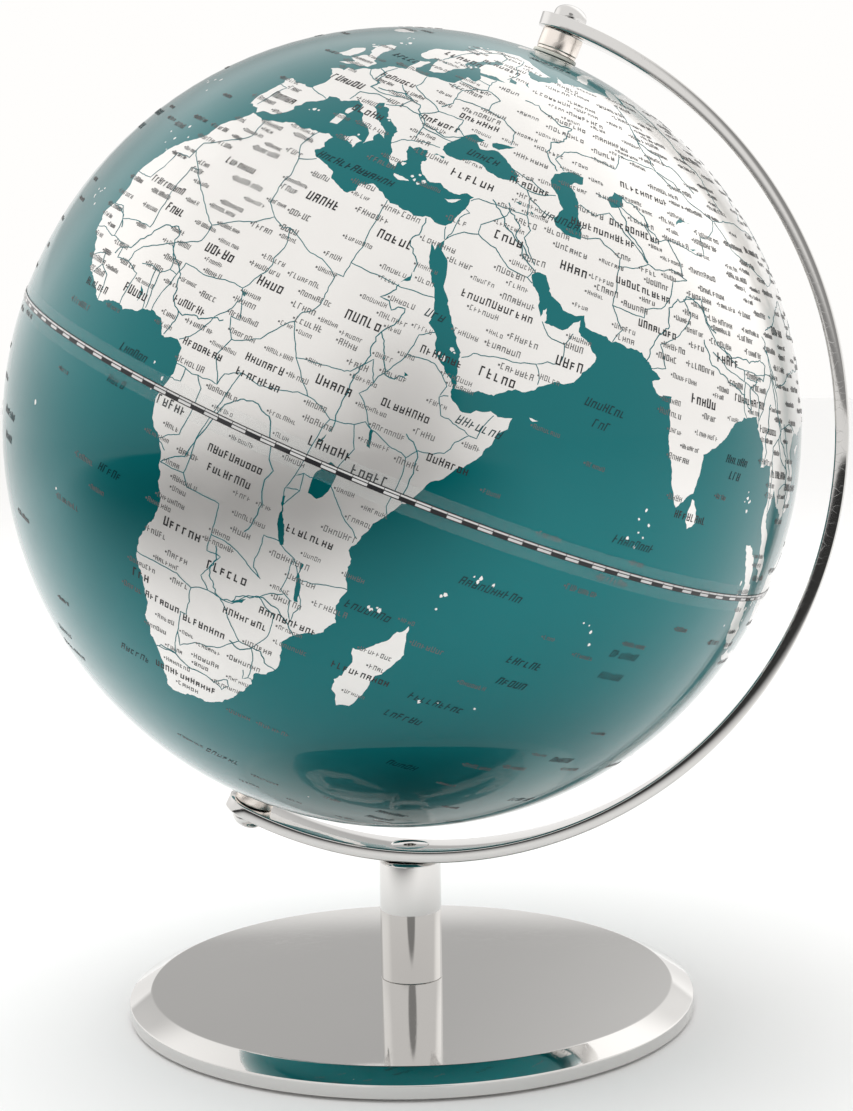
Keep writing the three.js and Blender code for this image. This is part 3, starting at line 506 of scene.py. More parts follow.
def ball_half(name, north, outlines):
    """Half of the ball's skin, cut along every coast into sea and land, with its inner wall."""
    pole_reach = math.degrees(math.asin(POLE_HOLE_R / BALL_R))
    seam_reach = 90 - math.degrees(SEAM_HALF_GAP / BALL_R)
    points = ring_points(seam_reach, SEAM_POINTS) + ring_points(pole_reach, POLE_HOLE_POINTS)
    edges = ring_edges(0, SEAM_POINTS) + ring_edges(SEAM_POINTS, POLE_HOLE_POINTS)
    shores = []
    rings = int((seam_reach - pole_reach) / RING_STEP)
    for ring in range(1, rings + 1):
        reach = pole_reach + (seam_reach - pole_reach) * ring / (rings + 0.5)
        count = max(24, int(360 * math.sin(math.radians(reach)) / RING_STEP))
        points += ring_points(reach, count, 0.5 * (ring % 2))
    for outline, is_land in outlines:
        printed = [(lon, printed_latitude(lat)) for lon, lat in outline]
        side = [lat if north else -lat for _, lat in printed]
        if max(side) < -1:
            continue
        # An outline that crosses the seam runs a little way past it
        ring = [(lon, max(lat, -PAST_SEAM) if north else min(lat, PAST_SEAM)) for lon, lat in printed]
        first = len(points)
        points += [flat_point(lon, lat, north) for lon, lat in ring]
        edges += ring_edges(first, len(ring))
        shores.append((np.array(points[first:]), is_land))
    cut = delaunay_2d_cdt(points, edges, [], 0, 1e-5, True)
    flat, cells = cut[0], cut[2]
    centres = np.array([sum((flat[i] for i in cell), Vector((0, 0))) / len(cell) for cell in cells])
    dry = is_dry(centres, shores)
    mesh = bmesh.new()
    made = {}

    def corner(index, radius):
        key = (index, radius)
        if key not in made:
            p = flat[index]
            reach, lon = p.length, math.degrees(math.atan2(p.y, p.x))
            lat = 90 - reach if north else reach - 90
            made[key] = mesh.verts.new(on_ball(lon, lat, radius))
        return made[key]

    for cell, centre, is_land in zip(cells, centres, dry):
        if not pole_reach < math.hypot(*centre) < seam_reach:
            continue
        face = mesh.faces.new([corner(i, BALL_R) for i in (cell if north else reversed(cell))])
        face.material_index = int(is_land)
        face.smooth = True
    give_thickness(mesh, BALL_R - WALL, 2)
    return on_sphere_piece(name, mesh)


def give_thickness(mesh, inner_radius, inner_material=0):
    """Closes an open skin on the ball: the same skin again nearer the middle, and walls round it."""
    outer = set(mesh.faces)
    bmesh.ops.extrude_face_region(mesh, geom=mesh.faces[:] + mesh.edges[:], use_keep_orig=True)
    kept = {v for f in outer for v in f.verts}
    for v in mesh.verts:
        if v not in kept:
            v.co = BALL_MIDDLE + (v.co - BALL_MIDDLE).normalized() * inner_radius
    for f in mesh.faces:
        if f not in outer:
            f.material_index = inner_material
            f.smooth = True
    bmesh.ops.recalc_face_normals(mesh, faces=mesh.faces[:])


def on_sphere_piece(name, mesh):
    """A piece from a closed skin, shaded as the true sphere on its outside and its inside."""
    piece = new_piece(name, mesh)
    data = piece.data
    outward = [(v.co - BALL_MIDDLE).normalized() for v in data.vertices]
    normals = []
    for polygon in data.polygons:
        facing = polygon.normal.dot(outward[polygon.vertices[0]])
        for i in polygon.vertices:
            on_skin = abs(facing) > SKIN_FACING
            normals.append(math.copysign(1, facing) * outward[i] if on_skin else polygon.normal.copy())
    data.normals_split_custom_set(normals)
    return piece


# ---------------------------------------------------------------- printed marks


class Marks:
    """Thin printed marks that lie on the ball's surface, all in one mesh."""

    def __init__(self, name, lift=INK_LIFT):
        self.name = name
        self.radius = BALL_R + lift
        self.mesh = bmesh.new()

    def patch(self, corners):
        """A flat mark from its corners as map points on the ball, anticlockwise from outside."""
        self.mesh.faces.new([self.mesh.verts.new(on_ball(lon, lat, self.radius)) for lon, lat in corners])

    def stroke(self, lon, lat, left, low, right, high, slant=0.0):
        """An upright rectangle beside a map point, in metres east and north of it."""
        east = DEGREE * max(math.cos(math.radians(lat)), 0.05)
        self.patch([
            (lon + (x + slant * y) / east, lat + y / DEGREE)
            for x, y in ((left, low), (right, low), (right, high), (left, high))
        ])

    def ribbon(self, points, width):
        """A line of even width through map points on the ball."""
        places = [on_ball(lon, lat, self.radius) for lon, lat in points]
        rows = []
        for i, place in enumerate(places):
            along = places[min(i + 1, len(places) - 1)] - places[max(i - 1, 0)]
            across = (place - BALL_MIDDLE).cross(along).normalized() * width / 2
            rows.append((self.mesh.verts.new(place - across), self.mesh.verts.new(place + across)))
        for (a, b), (c, d) in zip(rows, rows[1:]):
            self.mesh.faces.new((a, c, d, b))

    def finish(self):
        give_thickness(self.mesh, self.radius - 2 * INK_LIFT)
        return on_sphere_piece(self.name, self.mesh)


def word(marks, lon, lat, letters, height, rng, weight=0.15, slant=0.0):
    """A row of upright and level strokes in a name's place. They spell nothing."""
    pitch = height * 0.8
    pen = weight * height
    width = pitch - 0.24 * height
    left = -letters * pitch / 2
    low = -height / 2
    for i in range(letters):
        x = left + i * pitch
        tall = height if i == 0 or rng.random() < 0.3 else height * 0.8
        high = low + tall
        levels = rng.sample((low, low + 0.5 * (tall - pen), high - pen), rng.choice((1, 1, 2)))
        marks.stroke(lon, lat, x, low, x + pen, high, slant)
        if rng.random() < 0.72:
            marks.stroke(lon, lat, x + width - pen, low, x + width, high, slant)
        for rise in levels:
            marks.stroke(lon, lat, x + pen, rise, x + width - pen, rise + pen, slant)


def inside(lon, lat, ring):
    """Whether a map point lies within a closed outline."""
    hit = False
    for (ax, ay), (bx, by) in zip(ring, ring[1:] + ring[:1]):
        if (ay > lat) != (by > lat) and lon < ax + (lat - ay) / (by - ay) * (bx - ax):
            hit = not hit
    return hit


def on_land(lon, lat, lands):
    """Whether a map point lies on any land, also where its outline runs on past 180 degrees."""
    return any(inside(lon + turn, lat, ring) for ring in lands for turn in (0, 360))


LONG_NAME = 7  # marks from which a country's row is printed smaller
SHORT_NAME_H = 2.6 * MM
LONG_NAME_H = 2.1 * MM
SEA_NAME_H = 2.3 * MM
TOWN_NAME_H = (1.25 * MM, 1.45 * MM, 1.7 * MM)
HALF_DOT = 0.25 * MM
TOWNS = 1000
TOWN_TRIES = 9000


def printed_names(lands):
    """Heavy rows for countries, fine rows with a dot for towns, and slanting rows on the water."""
    rng = random.Random(11)
    heavy, water = Marks("country_names"), Marks("sea_names")
    north, south = Marks("northern_town_names"), Marks("southern_town_names")
    taken = []

    def free(lon, lat, half_long, half_tall):
        x_scale = DEGREE * math.cos(math.radians(lat))
        for other_lon, other_lat, other_long, other_tall in taken:
            if abs(lat - other_lat) * DEGREE < half_tall + other_tall:
                if abs((lon - other_lon + 180) % 360 - 180) * x_scale < half_long + other_long:
                    return False
        taken.append((lon, lat, half_long, half_tall))
        return True

    for lon, lat, letters in points_of(GREAT_NAMES):
        height = SHORT_NAME_H if letters < LONG_NAME else LONG_NAME_H
        if free(lon, lat, letters * height * 0.4, height * 0.7):
            word(heavy, lon, printed_latitude(lat), int(letters), height, rng)
    for lon, lat, letters in points_of(SEA_NAMES):
        free(lon, lat, letters * SEA_NAME_H * 0.45, SEA_NAME_H * 0.7)
        word(water, lon, printed_latitude(lat), int(letters), SEA_NAME_H, rng, 0.13, 0.3)
    tries = 0
    placed = 0
    while placed < TOWNS and tries < TOWN_TRIES:
        tries += 1
        lon, lat = rng.uniform(-170, 190), math.degrees(math.asin(rng.uniform(-0.8, 0.95)))
        letters = rng.randint(4, 8)
        height = rng.choice(TOWN_NAME_H)
        if not on_land(lon, lat, lands) and rng.random() < 0.97:
            continue
        if not free(lon, lat, letters * height * 0.42 + 0.5 * MM, height * 0.75):
            continue
        placed += 1
        printed = printed_latitude(lat)
        fine = north if lat > 0 else south
        word(fine, lon, printed, letters, height, rng, 0.13)
        side = -letters * height * 0.39 - 0.7 * MM
        fine.stroke(lon, printed, side - HALF_DOT, -HALF_DOT, side + HALF_DOT, HALF_DOT)
    return heavy.finish(), north.finish(), south.finish(), water.finish()


def printed_lines():
    """Borders and rivers in the colour of the sea."""
    rng = random.Random(9)
    marks = Marks("borders_and_rivers", INK_LIFT / 2)
    for text, share, width in ((BORDERS, 0.045, 0.24 * MM), (RIVERS, 0.11, 0.3 * MM)):
        for line in lines_of(text):
            path = []
            for a, b in zip(line, line[1:]):
                path += crinkle(a, b, rng, 0.7, share)
            path.append(line[-1])
            marks.ribbon([(lon, printed_latitude(lat)) for lon, lat in path], width)
    return marks.finish()


def around_seam(marks, north_mm, width_mm, start=0.0, stop=360.0, step=1.0):
    """A line beside the seam, a number of millimetres north of it."""
    lat = math.degrees(north_mm * MM / BALL_R)
    count = max(1, round((stop - start) / step))
    marks.ribbon([(start + (stop - start) * i / count, lat) for i in range(count + 1)], width_mm * MM)


def seam_scale():
    """The graduated line on the seam's tape: pale ground, three thin lines, ticks and dark blocks."""
    ground, ink = Marks("seam_scale_ground", SCALE_LIFT), Marks("seam_scale_ink", SCALE_LIFT + 0.02 * MM)
    around_seam(ground, 0, 1.8)
    for north_mm in (-0.85, 0.1, 0.85):
        around_seam(ink, north_mm, 0.26)
    cell = 2.0
    tick = 0.08
    for i in range(int(360 / cell)):
        start = i * cell
        around_seam(ink, 0, 1.7, start, start + tick, tick)
        if i % 2:
            around_seam(ink, -0.38, 0.85, start, start + cell)
    return ground.finish(), ink.finish()


# ---------------------------------------------------------------- turned and bent metal


def new_piece(name, mesh, smooth=True):
    """A piece from a finished mesh, with its faces pointing outwards."""
    bmesh.ops.recalc_face_normals(mesh, faces=mesh.faces)
    for face in mesh.faces:
        face.smooth = smooth
    data = bpy.data.meshes.new(name)
    mesh.to_mesh(data)
    mesh.free()
    piece = bpy.data.objects.new(name, data)
    bpy.context.scene.collection.objects.link(piece)
    return piece


def ring_profile(inner, outer, low, high):
    """The four corners of a plain ring's section, or of half a disc's where inner is 0."""
    return [(inner, low), (outer, low), (outer, high), (inner, high)]


def rounded_profile(mesh, points, radius, segments, closed):
    """A profile in the XZ plane with its corners rounded, as edges of the mesh."""
    verts = [mesh.verts.new((x, 0, z)) for x, z in points]
    pairs = list(zip(verts, verts[1:])) + ([(verts[-1], verts[0])] if closed else [])
    for a, b in pairs:
        mesh.edges.new((a, b))
    corners = verts if closed else verts[1:-1]
    bmesh.ops.bevel(
        mesh, geom=corners, offset=radius, affect="VERTICES", segments=segments, profile=0.5, material=-1,
    )


def turned(name, points, radius=0.3 * MM, segments=3, steps=96, place=None):
    """A piece turned on a lathe about Z. The profile closes on itself, or starts and ends on the axis."""
    mesh = bmesh.new()
    closed = min(x for x, _ in points) > 1e-6
    rounded_profile(mesh, points, radius, segments, closed)
    bmesh.ops.spin(
        mesh, geom=mesh.verts[:] + mesh.edges[:], cent=(0, 0, 0), axis=(0, 0, 1), dvec=(0, 0, 0),
        angle=math.tau, steps=steps, use_merge=True,
    )
    bmesh.ops.remove_doubles(mesh, verts=mesh.verts, dist=1e-6)
    if place is not None:
        bmesh.ops.transform(mesh, matrix=place, verts=mesh.verts)
    piece = new_piece(name, mesh)
    piece.data.set_sharp_from_angle(angle=math.radians(40))
    return piece


def carve(piece, cutter):
    """Cuts the cutter's shape out of a piece and removes the cutter."""
    step = piece.modifiers.new("carve", "BOOLEAN")
    step.operation = "DIFFERENCE"
    step.solver = "EXACT"
    step.object = cutter
    bpy.context.view_layer.update()
    done = bpy.data.meshes.new_from_object(piece.evaluated_get(bpy.context.evaluated_depsgraph_get()))
    piece.modifiers.clear()
    piece.data = done
    bpy.data.objects.remove(cutter)


def hexagon(name, across, low, high):
    """An upright six-sided bar on Z, for a socket."""
    corner = across / math.sqrt(3)
    mesh = bmesh.new()
    bmesh.ops.create_cone(mesh, cap_ends=True, segments=6, radius1=corner, radius2=corner, depth=high - low)
    bmesh.ops.translate(mesh, verts=mesh.verts, vec=(0, 0, (low + high) / 2))
    return new_piece(name, mesh, smooth=False)


def bent_arm():
    """The flat bar bent to a half circle, with round ends over the poles."""
    mesh = bmesh.new()
    half = ARM_W / 2
    verts = [mesh.verts.new((x, y, 0)) for x, y in ring_profile(ARM_R, ARM_R + ARM_T, -half, half)]
    for a, b in zip(verts, verts[1:] + verts[:1]):
        mesh.edges.new((a, b))
    bmesh.ops.bevel(
        mesh, geom=verts, offset=0.5 * MM, affect="VERTICES", segments=4, profile=0.5, material=-1,
    )
    # From the south pole's end round to the north pole's, with closer steps on the round ends
    to_pole = math.pi / 2 + math.asin(ARM_OFFSET / ARM_R)
    tip_steps, body_steps = 14, 180
    ease = [half * math.sin(i * math.pi / 2 / tip_steps) for i in range(tip_steps + 1)]
    tips = [to_pole + reach / ARM_R for reach in ease]
    body = [to_pole * (1 - 2 * i / body_steps) for i in range(1, body_steps)]
    angles = tips[::-1] + body + [-a for a in tips]
    bmesh.ops.rotate(mesh, verts=mesh.verts, cent=(0, 0, 0), matrix=Matrix.Rotation(angles[0], 3, "Y"))
    rows = [(angles[0], mesh.verts[:])]
    edge = mesh.edges[:]
    for before, after in zip(angles, angles[1:]):
        made = bmesh.ops.spin(
            mesh, geom=edge + rows[-1][1], cent=(0, 0, 0), axis=(0, 1, 0), dvec=(0, 0, 0),
            angle=after - before, steps=1,
        )["geom_last"]
        edge = [g for g in made if isinstance(g, bmesh.types.BMEdge)]
        rows.append((after, [g for g in made if isinstance(g, bmesh.types.BMVert)]))
    for angle, row in rows:
        past = max(0.0, abs(angle) - to_pole) * ARM_R
        narrow = math.sqrt(max(0.0, 1 - (past / half) ** 2))
        for v in row:
            v.co.y *= narrow
    bmesh.ops.remove_doubles(mesh, verts=mesh.verts, dist=2e-6)
    bmesh.ops.holes_fill(mesh, edges=[e for e in mesh.edges if e.is_boundary])
    bmesh.ops.translate(mesh, verts=mesh.verts, vec=(ARM_OFFSET, 0, 0))
    bmesh.ops.transform(mesh, matrix=LEAN, verts=mesh.verts)
    piece = new_piece("bent_arm", mesh)
    piece.data.set_sharp_from_angle(angle=math.radians(50))
    return piece


# ---------------------------------------------------------------- finishes


def node(tree, kind, sockets=None, **settings):
    """A new shader node. Its sockets are given numbers, colours or other nodes' outputs."""
    made = tree.nodes.new(kind)
    for name, value in settings.items():
        setattr(made, name, value)
    for name, value in (sockets or {}).items():
        if isinstance(value, bpy.types.NodeSocket):
            tree.links.new(value, made.inputs[name])
        else:
            made.inputs[name].default_value = value
    return made


def combined(tree, operation, a, b):
    """Two values, or a value and a number, joined by a sum."""
    return node(tree, "ShaderNodeMath", {0: a, 1: b}, operation=operation).outputs[0]


def level_of(tree, value, low, high, from_level, to_level, smooth=True):
    """A level that passes from one value to another as its input goes from low to high."""
    return node(
        tree, "ShaderNodeMapRange",
        {"Value": value, "From Min": low, "From Max": high, "To Min": from_level, "To Max": to_level},
        interpolation_type="SMOOTHSTEP" if smooth else "LINEAR",
    ).outputs["Result"]


def object_place(tree):
    """Where a point lies on its piece, which is its place in the row frame at rest."""
    return node(tree, "ShaderNodeTexCoord").outputs["Object"]


def group_of(name, inputs, outputs):
    """A new shader group with numbers in and out: its tree, its input node and its output node."""
    tree = bpy.data.node_groups.new(name, "ShaderNodeTree")
    for label, default in inputs:
        tree.interface.new_socket(label, in_out="INPUT", socket_type="NodeSocketFloat").default_value = default
    for label in outputs:
        tree.interface.new_socket(label, in_out="OUTPUT", socket_type="NodeSocketFloat")
    return tree, node(tree, "NodeGroupInput").outputs, node(tree, "NodeGroupOutput").inputs


def handling_group():
    """Handling marks: soft smudges and fine directionless scratches, as a roughness and a height."""
    tree, given, result = group_of(
        "Handling",
        [("Smudge Size", 30), ("Smudge", 0.05), ("Scratch", 0.03), ("Base Roughness", 0.05)],
        ["Roughness", "Height"],
    )
    place = object_place(tree)
    cloud = node(
        tree, "ShaderNodeTexNoise",
        {"Vector": place, "Scale": given["Smudge Size"], "Detail": 5, "Roughness": 0.62},
    )
    smudges = level_of(tree, cloud.outputs["Fac"], 0.42, 0.7, 0.0, 1.0, smooth=False)
    # Scratches are the thin edges of bent cells, and show only within the smudges
    sway = node(tree, "ShaderNodeTexNoise", {"Vector": place, "Scale": 90})
    bent = node(tree, "ShaderNodeMix", {0: 0.012, 4: place, 5: sway.outputs["Color"]}, data_type="VECTOR")
    cells = node(
        tree, "ShaderNodeTexVoronoi", {"Vector": bent.outputs[1], "Scale": 240}, feature="DISTANCE_TO_EDGE",
    )
    lines = level_of(tree, cells.outputs["Distance"], 0.012, 0.0, 0.0, 1.0, smooth=False)
    scratches = combined(tree, "MULTIPLY", lines, smudges)
    rough = combined(
        tree, "ADD", combined(tree, "MULTIPLY", smudges, given["Smudge"]),
        combined(tree, "MULTIPLY", scratches, given["Scratch"]),
    )
    tree.links.new(combined(tree, "ADD", rough, given["Base Roughness"]), result["Roughness"])
    tree.links.new(combined(tree, "MULTIPLY", scratches, -1), result["Height"])
    return tree


HANDLING = handling_group()


def finish(name, colour, second, rough, metallic=0.0, coat=0.0, coat_rough=0.03, smudge=0.05, scratch=0.03,
           smudge_size=30, mottle=40.0, stretch=(1, 1, 1), bump=0.02, alpha=1.0, specular=0.5,
           coat_index=1.5):
    """A finish whose colour drifts between two near ones, with handling marks in its gloss."""
    material = bpy.data.materials.new(name)
    material.use_nodes = True
    tree = material.node_tree
    shader = tree.nodes["Principled BSDF"].inputs
    for label, value in (
        ("Metallic", metallic), ("Coat Weight", coat), ("Coat Roughness", coat_rough),
        ("Coat IOR", coat_index), ("Specular IOR Level", specular), ("Alpha", alpha),
    ):
        shader[label].default_value = value
    aim = node(tree, "ShaderNodeMapping", {"Vector": object_place(tree), "Scale": stretch})
    drift = node(tree, "ShaderNodeTexNoise", {"Vector": aim.outputs["Vector"], "Scale": mottle, "Detail": 6})
    tint = node(
        tree, "ShaderNodeMix", {0: drift.outputs["Fac"], 6: (*colour, 1), 7: (*second, 1)}, data_type="RGBA",
    )
    tree.links.new(tint.outputs[2], shader["Base Color"])
    worn = node(tree, "ShaderNodeGroup", node_tree=HANDLING)
    for label, value in (
        ("Smudge Size", smudge_size), ("Smudge", smudge), ("Scratch", scratch), ("Base Roughness", rough),
    ):
        worn.inputs[label].default_value = value
    tree.links.new(worn.outputs["Roughness"], shader["Roughness"])
    if bump:
        raised = node(
            tree, "ShaderNodeBump", {"Strength": bump, "Distance": 0.1 * MM, "Height": worn.outputs["Height"]},
        )
        tree.links.new(raised.outputs["Normal"], shader["Normal"])
    return material


def grained(material, scale, stretch, strength, distance):
    """Adds a grain that is drawn out along one direction, over the handling marks."""
    tree = material.node_tree
    normal = tree.nodes["Principled BSDF"].inputs["Normal"]
    aim = node(
        tree, "ShaderNodeMapping",
        {"Vector": object_place(tree), "Scale": stretch, "Rotation": (0, -AXIS_TILT, 0)},
    )
    grain = node(tree, "ShaderNodeTexNoise", {"Vector": aim.outputs["Vector"], "Scale": scale, "Detail": 4})
    raised = node(
        tree, "ShaderNodeBump", {"Strength": strength, "Distance": distance, "Height": grain.outputs["Fac"]},
    )
    if normal.is_linked:
        tree.links.new(normal.links[0].from_socket, raised.inputs["Normal"])
    tree.links.new(raised.outputs["Normal"], normal)
    return material


def paint(piece, *materials):
    """Gives a piece its finishes, in the order of its faces' material numbers."""
    slots = piece.data.materials
    for i, material in enumerate(materials):
        if i < len(slots):
            slots[i] = material
        else:
            slots.append(material)
    return piece


LACQUER = dict(coat=1, coat_rough=0.02, coat_index=1.33, bump=0, specular=0)
SEA = finish("sea_print", (0.0, 0.155, 0.168), (0.0, 0.14, 0.152), 0.36, metallic=0.85, mottle=12, **LACQUER)
LAND = finish(
    "land_print", (0.88, 0.865, 0.845), (0.83, 0.815, 0.795), 0.36, metallic=0.92, mottle=60, **LACQUER,
)
LINE_INK = finish("line_ink", (0.0, 0.13, 0.15), (0.0, 0.11, 0.13), 0.35, **LACQUER)
NAME_INK = finish("name_ink", (0.018, 0.018, 0.02), (0.03, 0.03, 0.032), 0.4, **LACQUER)
TOWN_INK = finish("town_ink", (0.10, 0.10, 0.10), (0.14, 0.14, 0.14), 0.4, **LACQUER)
SEA_INK = finish("sea_ink", (0.004, 0.035, 0.042), (0.003, 0.028, 0.035), 0.4, **LACQUER)
PALE_INK = finish("pale_ink", (0.62, 0.62, 0.61), (0.55, 0.55, 0.55), 0.4, **LACQUER)
FILM = finish("clear_film", (0.75, 0.85, 0.85), (0.7, 0.8, 0.8), 0.08, smudge=0.03, bump=0, alpha=0.03)
SHELL_INSIDE = finish("shell_inside", (0.72, 0.71, 0.68), (0.66, 0.65, 0.62), 0.5, smudge=0.1, mottle=50)
CHROME = finish(
    "chrome_plate", (0.70, 0.69, 0.675), (0.675, 0.665, 0.655), 0.03, metallic=1, smudge=0.035,
    scratch=0.08, smudge_size=18, mottle=25, bump=0.03,
)
NICKEL = grained(
    finish("satin_nickel", (0.93, 0.86, 0.80), (0.86, 0.79, 0.73), 0.22, metallic=1, smudge=0.1,
           scratch=0.1, mottle=90, stretch=(1, 1, 9)),
    400, (1, 1, 14), 0.25, 0.03 * MM,
)
ZINC = finish(
    "zinc_plate", (0.55, 0.55, 0.53), (0.42, 0.42, 0.41), 0.28, metallic=1, smudge=0.14, scratch=0.12,
    mottle=150,
)
NYLON = grained(
    finish("natural_nylon", (0.78, 0.76, 0.69), (0.7, 0.68, 0.61), 0.45, smudge=0.1, mottle=90),
    900, (1, 1, 1), 0.2, 0.03 * MM,
)
FOAM = grained(
    finish("pad_foam", (0.022, 0.022, 0.025), (0.035, 0.035, 0.038), 0.85, smudge=0.1, mottle=300),
    1500, (1, 1, 1), 0.9, 0.3 * MM,
)

# ---------------------------------------------------------------- the ball

outlines = lands_and_waters()
for name, north, cad_node in (
    ("north_map_half", True, "north_shell"), ("south_map_half", False, "south_shell"),
):
    half = ball_half(name, north, outlines)
    paint(half, SEA, LAND, SHELL_INSIDE)
    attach(half, "ball")
    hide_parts(cad_node)

country_names, northern_towns, southern_towns, sea_names = printed_names(
    [points_of(text) for text in LANDS.values()]
)
for piece, material in (
    (printed_lines(), LINE_INK), (country_names, NAME_INK), (northern_towns, TOWN_INK),
    (southern_towns, TOWN_INK), (sea_names, SEA_INK),
):
    paint(piece, material)
    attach(piece, "ball")

scale_ground, scale_ink = seam_scale()
tape_r = BALL_R + TAPE_LIFT
film = turned(
    "seam_film", ring_profile(tape_r, tape_r + TAPE_T, -TAPE_HALF_W, TAPE_HALF_W),
    radius=0.03 * MM, segments=2, steps=360, place=LEAN,
)
for piece, material in ((scale_ground, PALE_INK), (scale_ink, NAME_INK), (film, FILM)):
    paint(piece, material)
    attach(piece, "ball")
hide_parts("equator_tape")

# ---------------------------------------------------------------- the stand

under_stem = STEM_R - 4 * MM  # one ring of points here keeps the top's shading flat
base = turned(
    "base_plate",
    [(SCREW_HOLE_R, COUNTERBORE_TOP), (COUNTERBORE_R, COUNTERBORE_TOP), (COUNTERBORE_R, BASE_Z),
     (BASE_R, BASE_Z), (BASE_R, BASE_TOP - BEVEL_H), (BASE_R - BEVEL_W, BASE_TOP), (under_stem, BASE_TOP),
     (SCREW_HOLE_R, BASE_TOP)],
    radius=0.35 * MM, segments=4, steps=256,
)
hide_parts("base_disc")
pad = turned("foam_pad", ring_profile(0, PAD_R, 0, PAD_T), radius=0.25 * MM, steps=160)
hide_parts("base_pad")
stem_edge = 0.8 * MM
hole_top, hole_foot = BASE_TOP + SCREW_HOLE_DEPTH, STEM_TOP - SCREW_HOLE_DEPTH
post = turned(
    "stem_post",
    [(0, hole_top), (SCREW_HOLE_R, hole_top), (SCREW_HOLE_R, BASE_TOP), (STEM_R, BASE_TOP),
     (STEM_R, STEM_TOP - stem_edge), (STEM_R - stem_edge, STEM_TOP), (SCREW_HOLE_R, STEM_TOP),
     (SCREW_HOLE_R, hole_foot), (0, hole_foot)],
    radius=0.3 * MM, segments=3, steps=160,
)
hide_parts("stem")
arm = bent_arm()
arm_seat = BALL_Z - ARM_OFFSET * math.sin(AXIS_TILT) - ARM_R
sink_r = 6.25 * MM
countersink = turned(
    "countersink",
    [(0, arm_seat - 8 * MM), (SCREW_HOLE_R, arm_seat - 8 * MM), (SCREW_HOLE_R, arm_seat - 2.9 * MM),
     (sink_r, arm_seat + 0.05 * MM), (sink_r, arm_seat + 3 * MM), (0, arm_seat + 3 * MM)],
    radius=0.01 * MM, segments=1, steps=96,
)
carve(arm, countersink)
past_arm = 150 * MM
axle_holes = turned(
    "axle_holes", ring_profile(0, AXLE_HOLE_R, -past_arm, past_arm),
    radius=0.01 * MM, segments=1, steps=96, place=LEAN,
)
carve(arm, axle_holes)
for polygon in arm.data.polygons:
    polygon.use_smooth = True
arm.data.set_sharp_from_angle(angle=math.radians(35))
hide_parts("arm")
head_top = arm_seat - 0.05 * MM
head_r = 5.95 * MM
screw = turned(
    "arm_screw_head",
    [(0, SCREW_FOOT), (SCREW_R, SCREW_FOOT), (SCREW_R, head_top - 2.85 * MM),
     (head_r, head_top - 0.25 * MM), (head_r, head_top), (0, head_top)],
    radius=0.1 * MM, segments=2, steps=96,
)
carve(screw, hexagon("screw_socket", 4 * MM, head_top - 1.6 * MM, head_top + 1 * MM))
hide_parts("arm_screw")
for piece, slot, material in (
    (base, "chrome", CHROME), (pad, "pad_foam", FOAM), (post, "chrome", CHROME), (arm, "chrome", CHROME),
    (screw, "chrome", CHROME),
):
    paint(piece, material)
    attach(piece, "stand")

# ---------------------------------------------------------------- the pivots


def pivot(pole, place):
    """The pieces stacked at one pole, from the ball out to the cap."""
    flange_low, flange_high = BALL_R + 0.1 * MM, BALL_R + 1.1 * MM
    flange = turned(
        f"{pole}_bush_flange",
        [(AXLE_HOLE_R, BALL_R - BUSH_DEPTH), (BUSH_R, BALL_R - BUSH_DEPTH), (BUSH_R, flange_low),
         (FLANGE_R, flange_low), (FLANGE_R - 0.1 * MM, flange_high), (AXLE_HOLE_R, flange_high)],
        radius=0.12 * MM, segments=2, steps=96, place=place,
    )
    step_ring = turned(
        f"{pole}_step_ring", ring_profile(AXLE_HOLE_R, STEP_R, BALL_R + 1.3 * MM, BALL_R + 2.1 * MM),
        radius=0.12 * MM, segments=2, steps=96, place=place,
    )
    # The sleeve's outer end stops just short of the arm's bent underside
    sleeve_end = math.sqrt(ARM_R**2 - (SLEEVE_R + ARM_OFFSET) ** 2) - 0.1 * MM
    sleeve = turned(
        f"{pole}_spacer_sleeve", ring_profile(AXLE_HOLE_R, SLEEVE_R, BALL_R + 2.2 * MM, sleeve_end),
        radius=0.22 * MM, segments=3, steps=96, place=place,
    )
    cap_foot = ARM_R + ARM_T + 0.05 * MM
    dome_steps = 10
    turns = [i * math.pi / 2 / dome_steps for i in range(dome_steps)]
    dome = [(CAP_R * math.cos(a), cap_foot + CAP_RIM + CAP_DOME * math.sin(a)) for a in turns]
    cap = turned(
        f"{pole}_dome_cap",
        [(0, cap_foot + CAP_BORE), (AXLE_HOLE_R, cap_foot + CAP_BORE), (AXLE_HOLE_R, cap_foot),
         (CAP_R, cap_foot), *dome, (0, cap_foot + CAP_RIM + CAP_DOME)],
        radius=0.12 * MM, segments=2, steps=72, place=place,
    )
    for piece, body, slot, material, cad_node in (
        (flange, "ball", "nylon", NYLON, f"{pole}_pole_bush"),
        (step_ring, "stand", "steel", NICKEL, f"{pole}_thrust_washer"),
        (sleeve, "stand", "nickel", NICKEL, f"{pole}_spacer"),
        (cap, "stand", "chrome", CHROME, f"{pole}_cap_nut"),
    ):
        paint(piece, material)
        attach(piece, body)
        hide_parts(cad_node)


pivot("north", LEAN)
pivot("south", LEAN @ Matrix.Rotation(math.pi, 4, "X"))

for cad_node, material in (
    ("north_axle", ZINC), ("south_axle", ZINC), ("stem_bolt", ZINC), ("stem_bolt_washer", ZINC),
    ("seam_ring", NYLON),
):
    paint(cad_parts[cad_node], material)

# ---------------------------------------------------------------- desk, light and camera


FRONT_LEVEL = 0.3  # how bright the room is behind whoever is looking
GREY_BAND = 0.54
LOOKER_LEVEL = 0.35
LEFT_GLOW = 0.25
RIGHT_GLOW = 0.5
# Place and size of the dark patch that paints a dark reflection on the ball's lower half
PATCH_PLACE = (-0.9, -2.0, 0.004)
PATCH_REACH = (2.2, 2.1, 1)


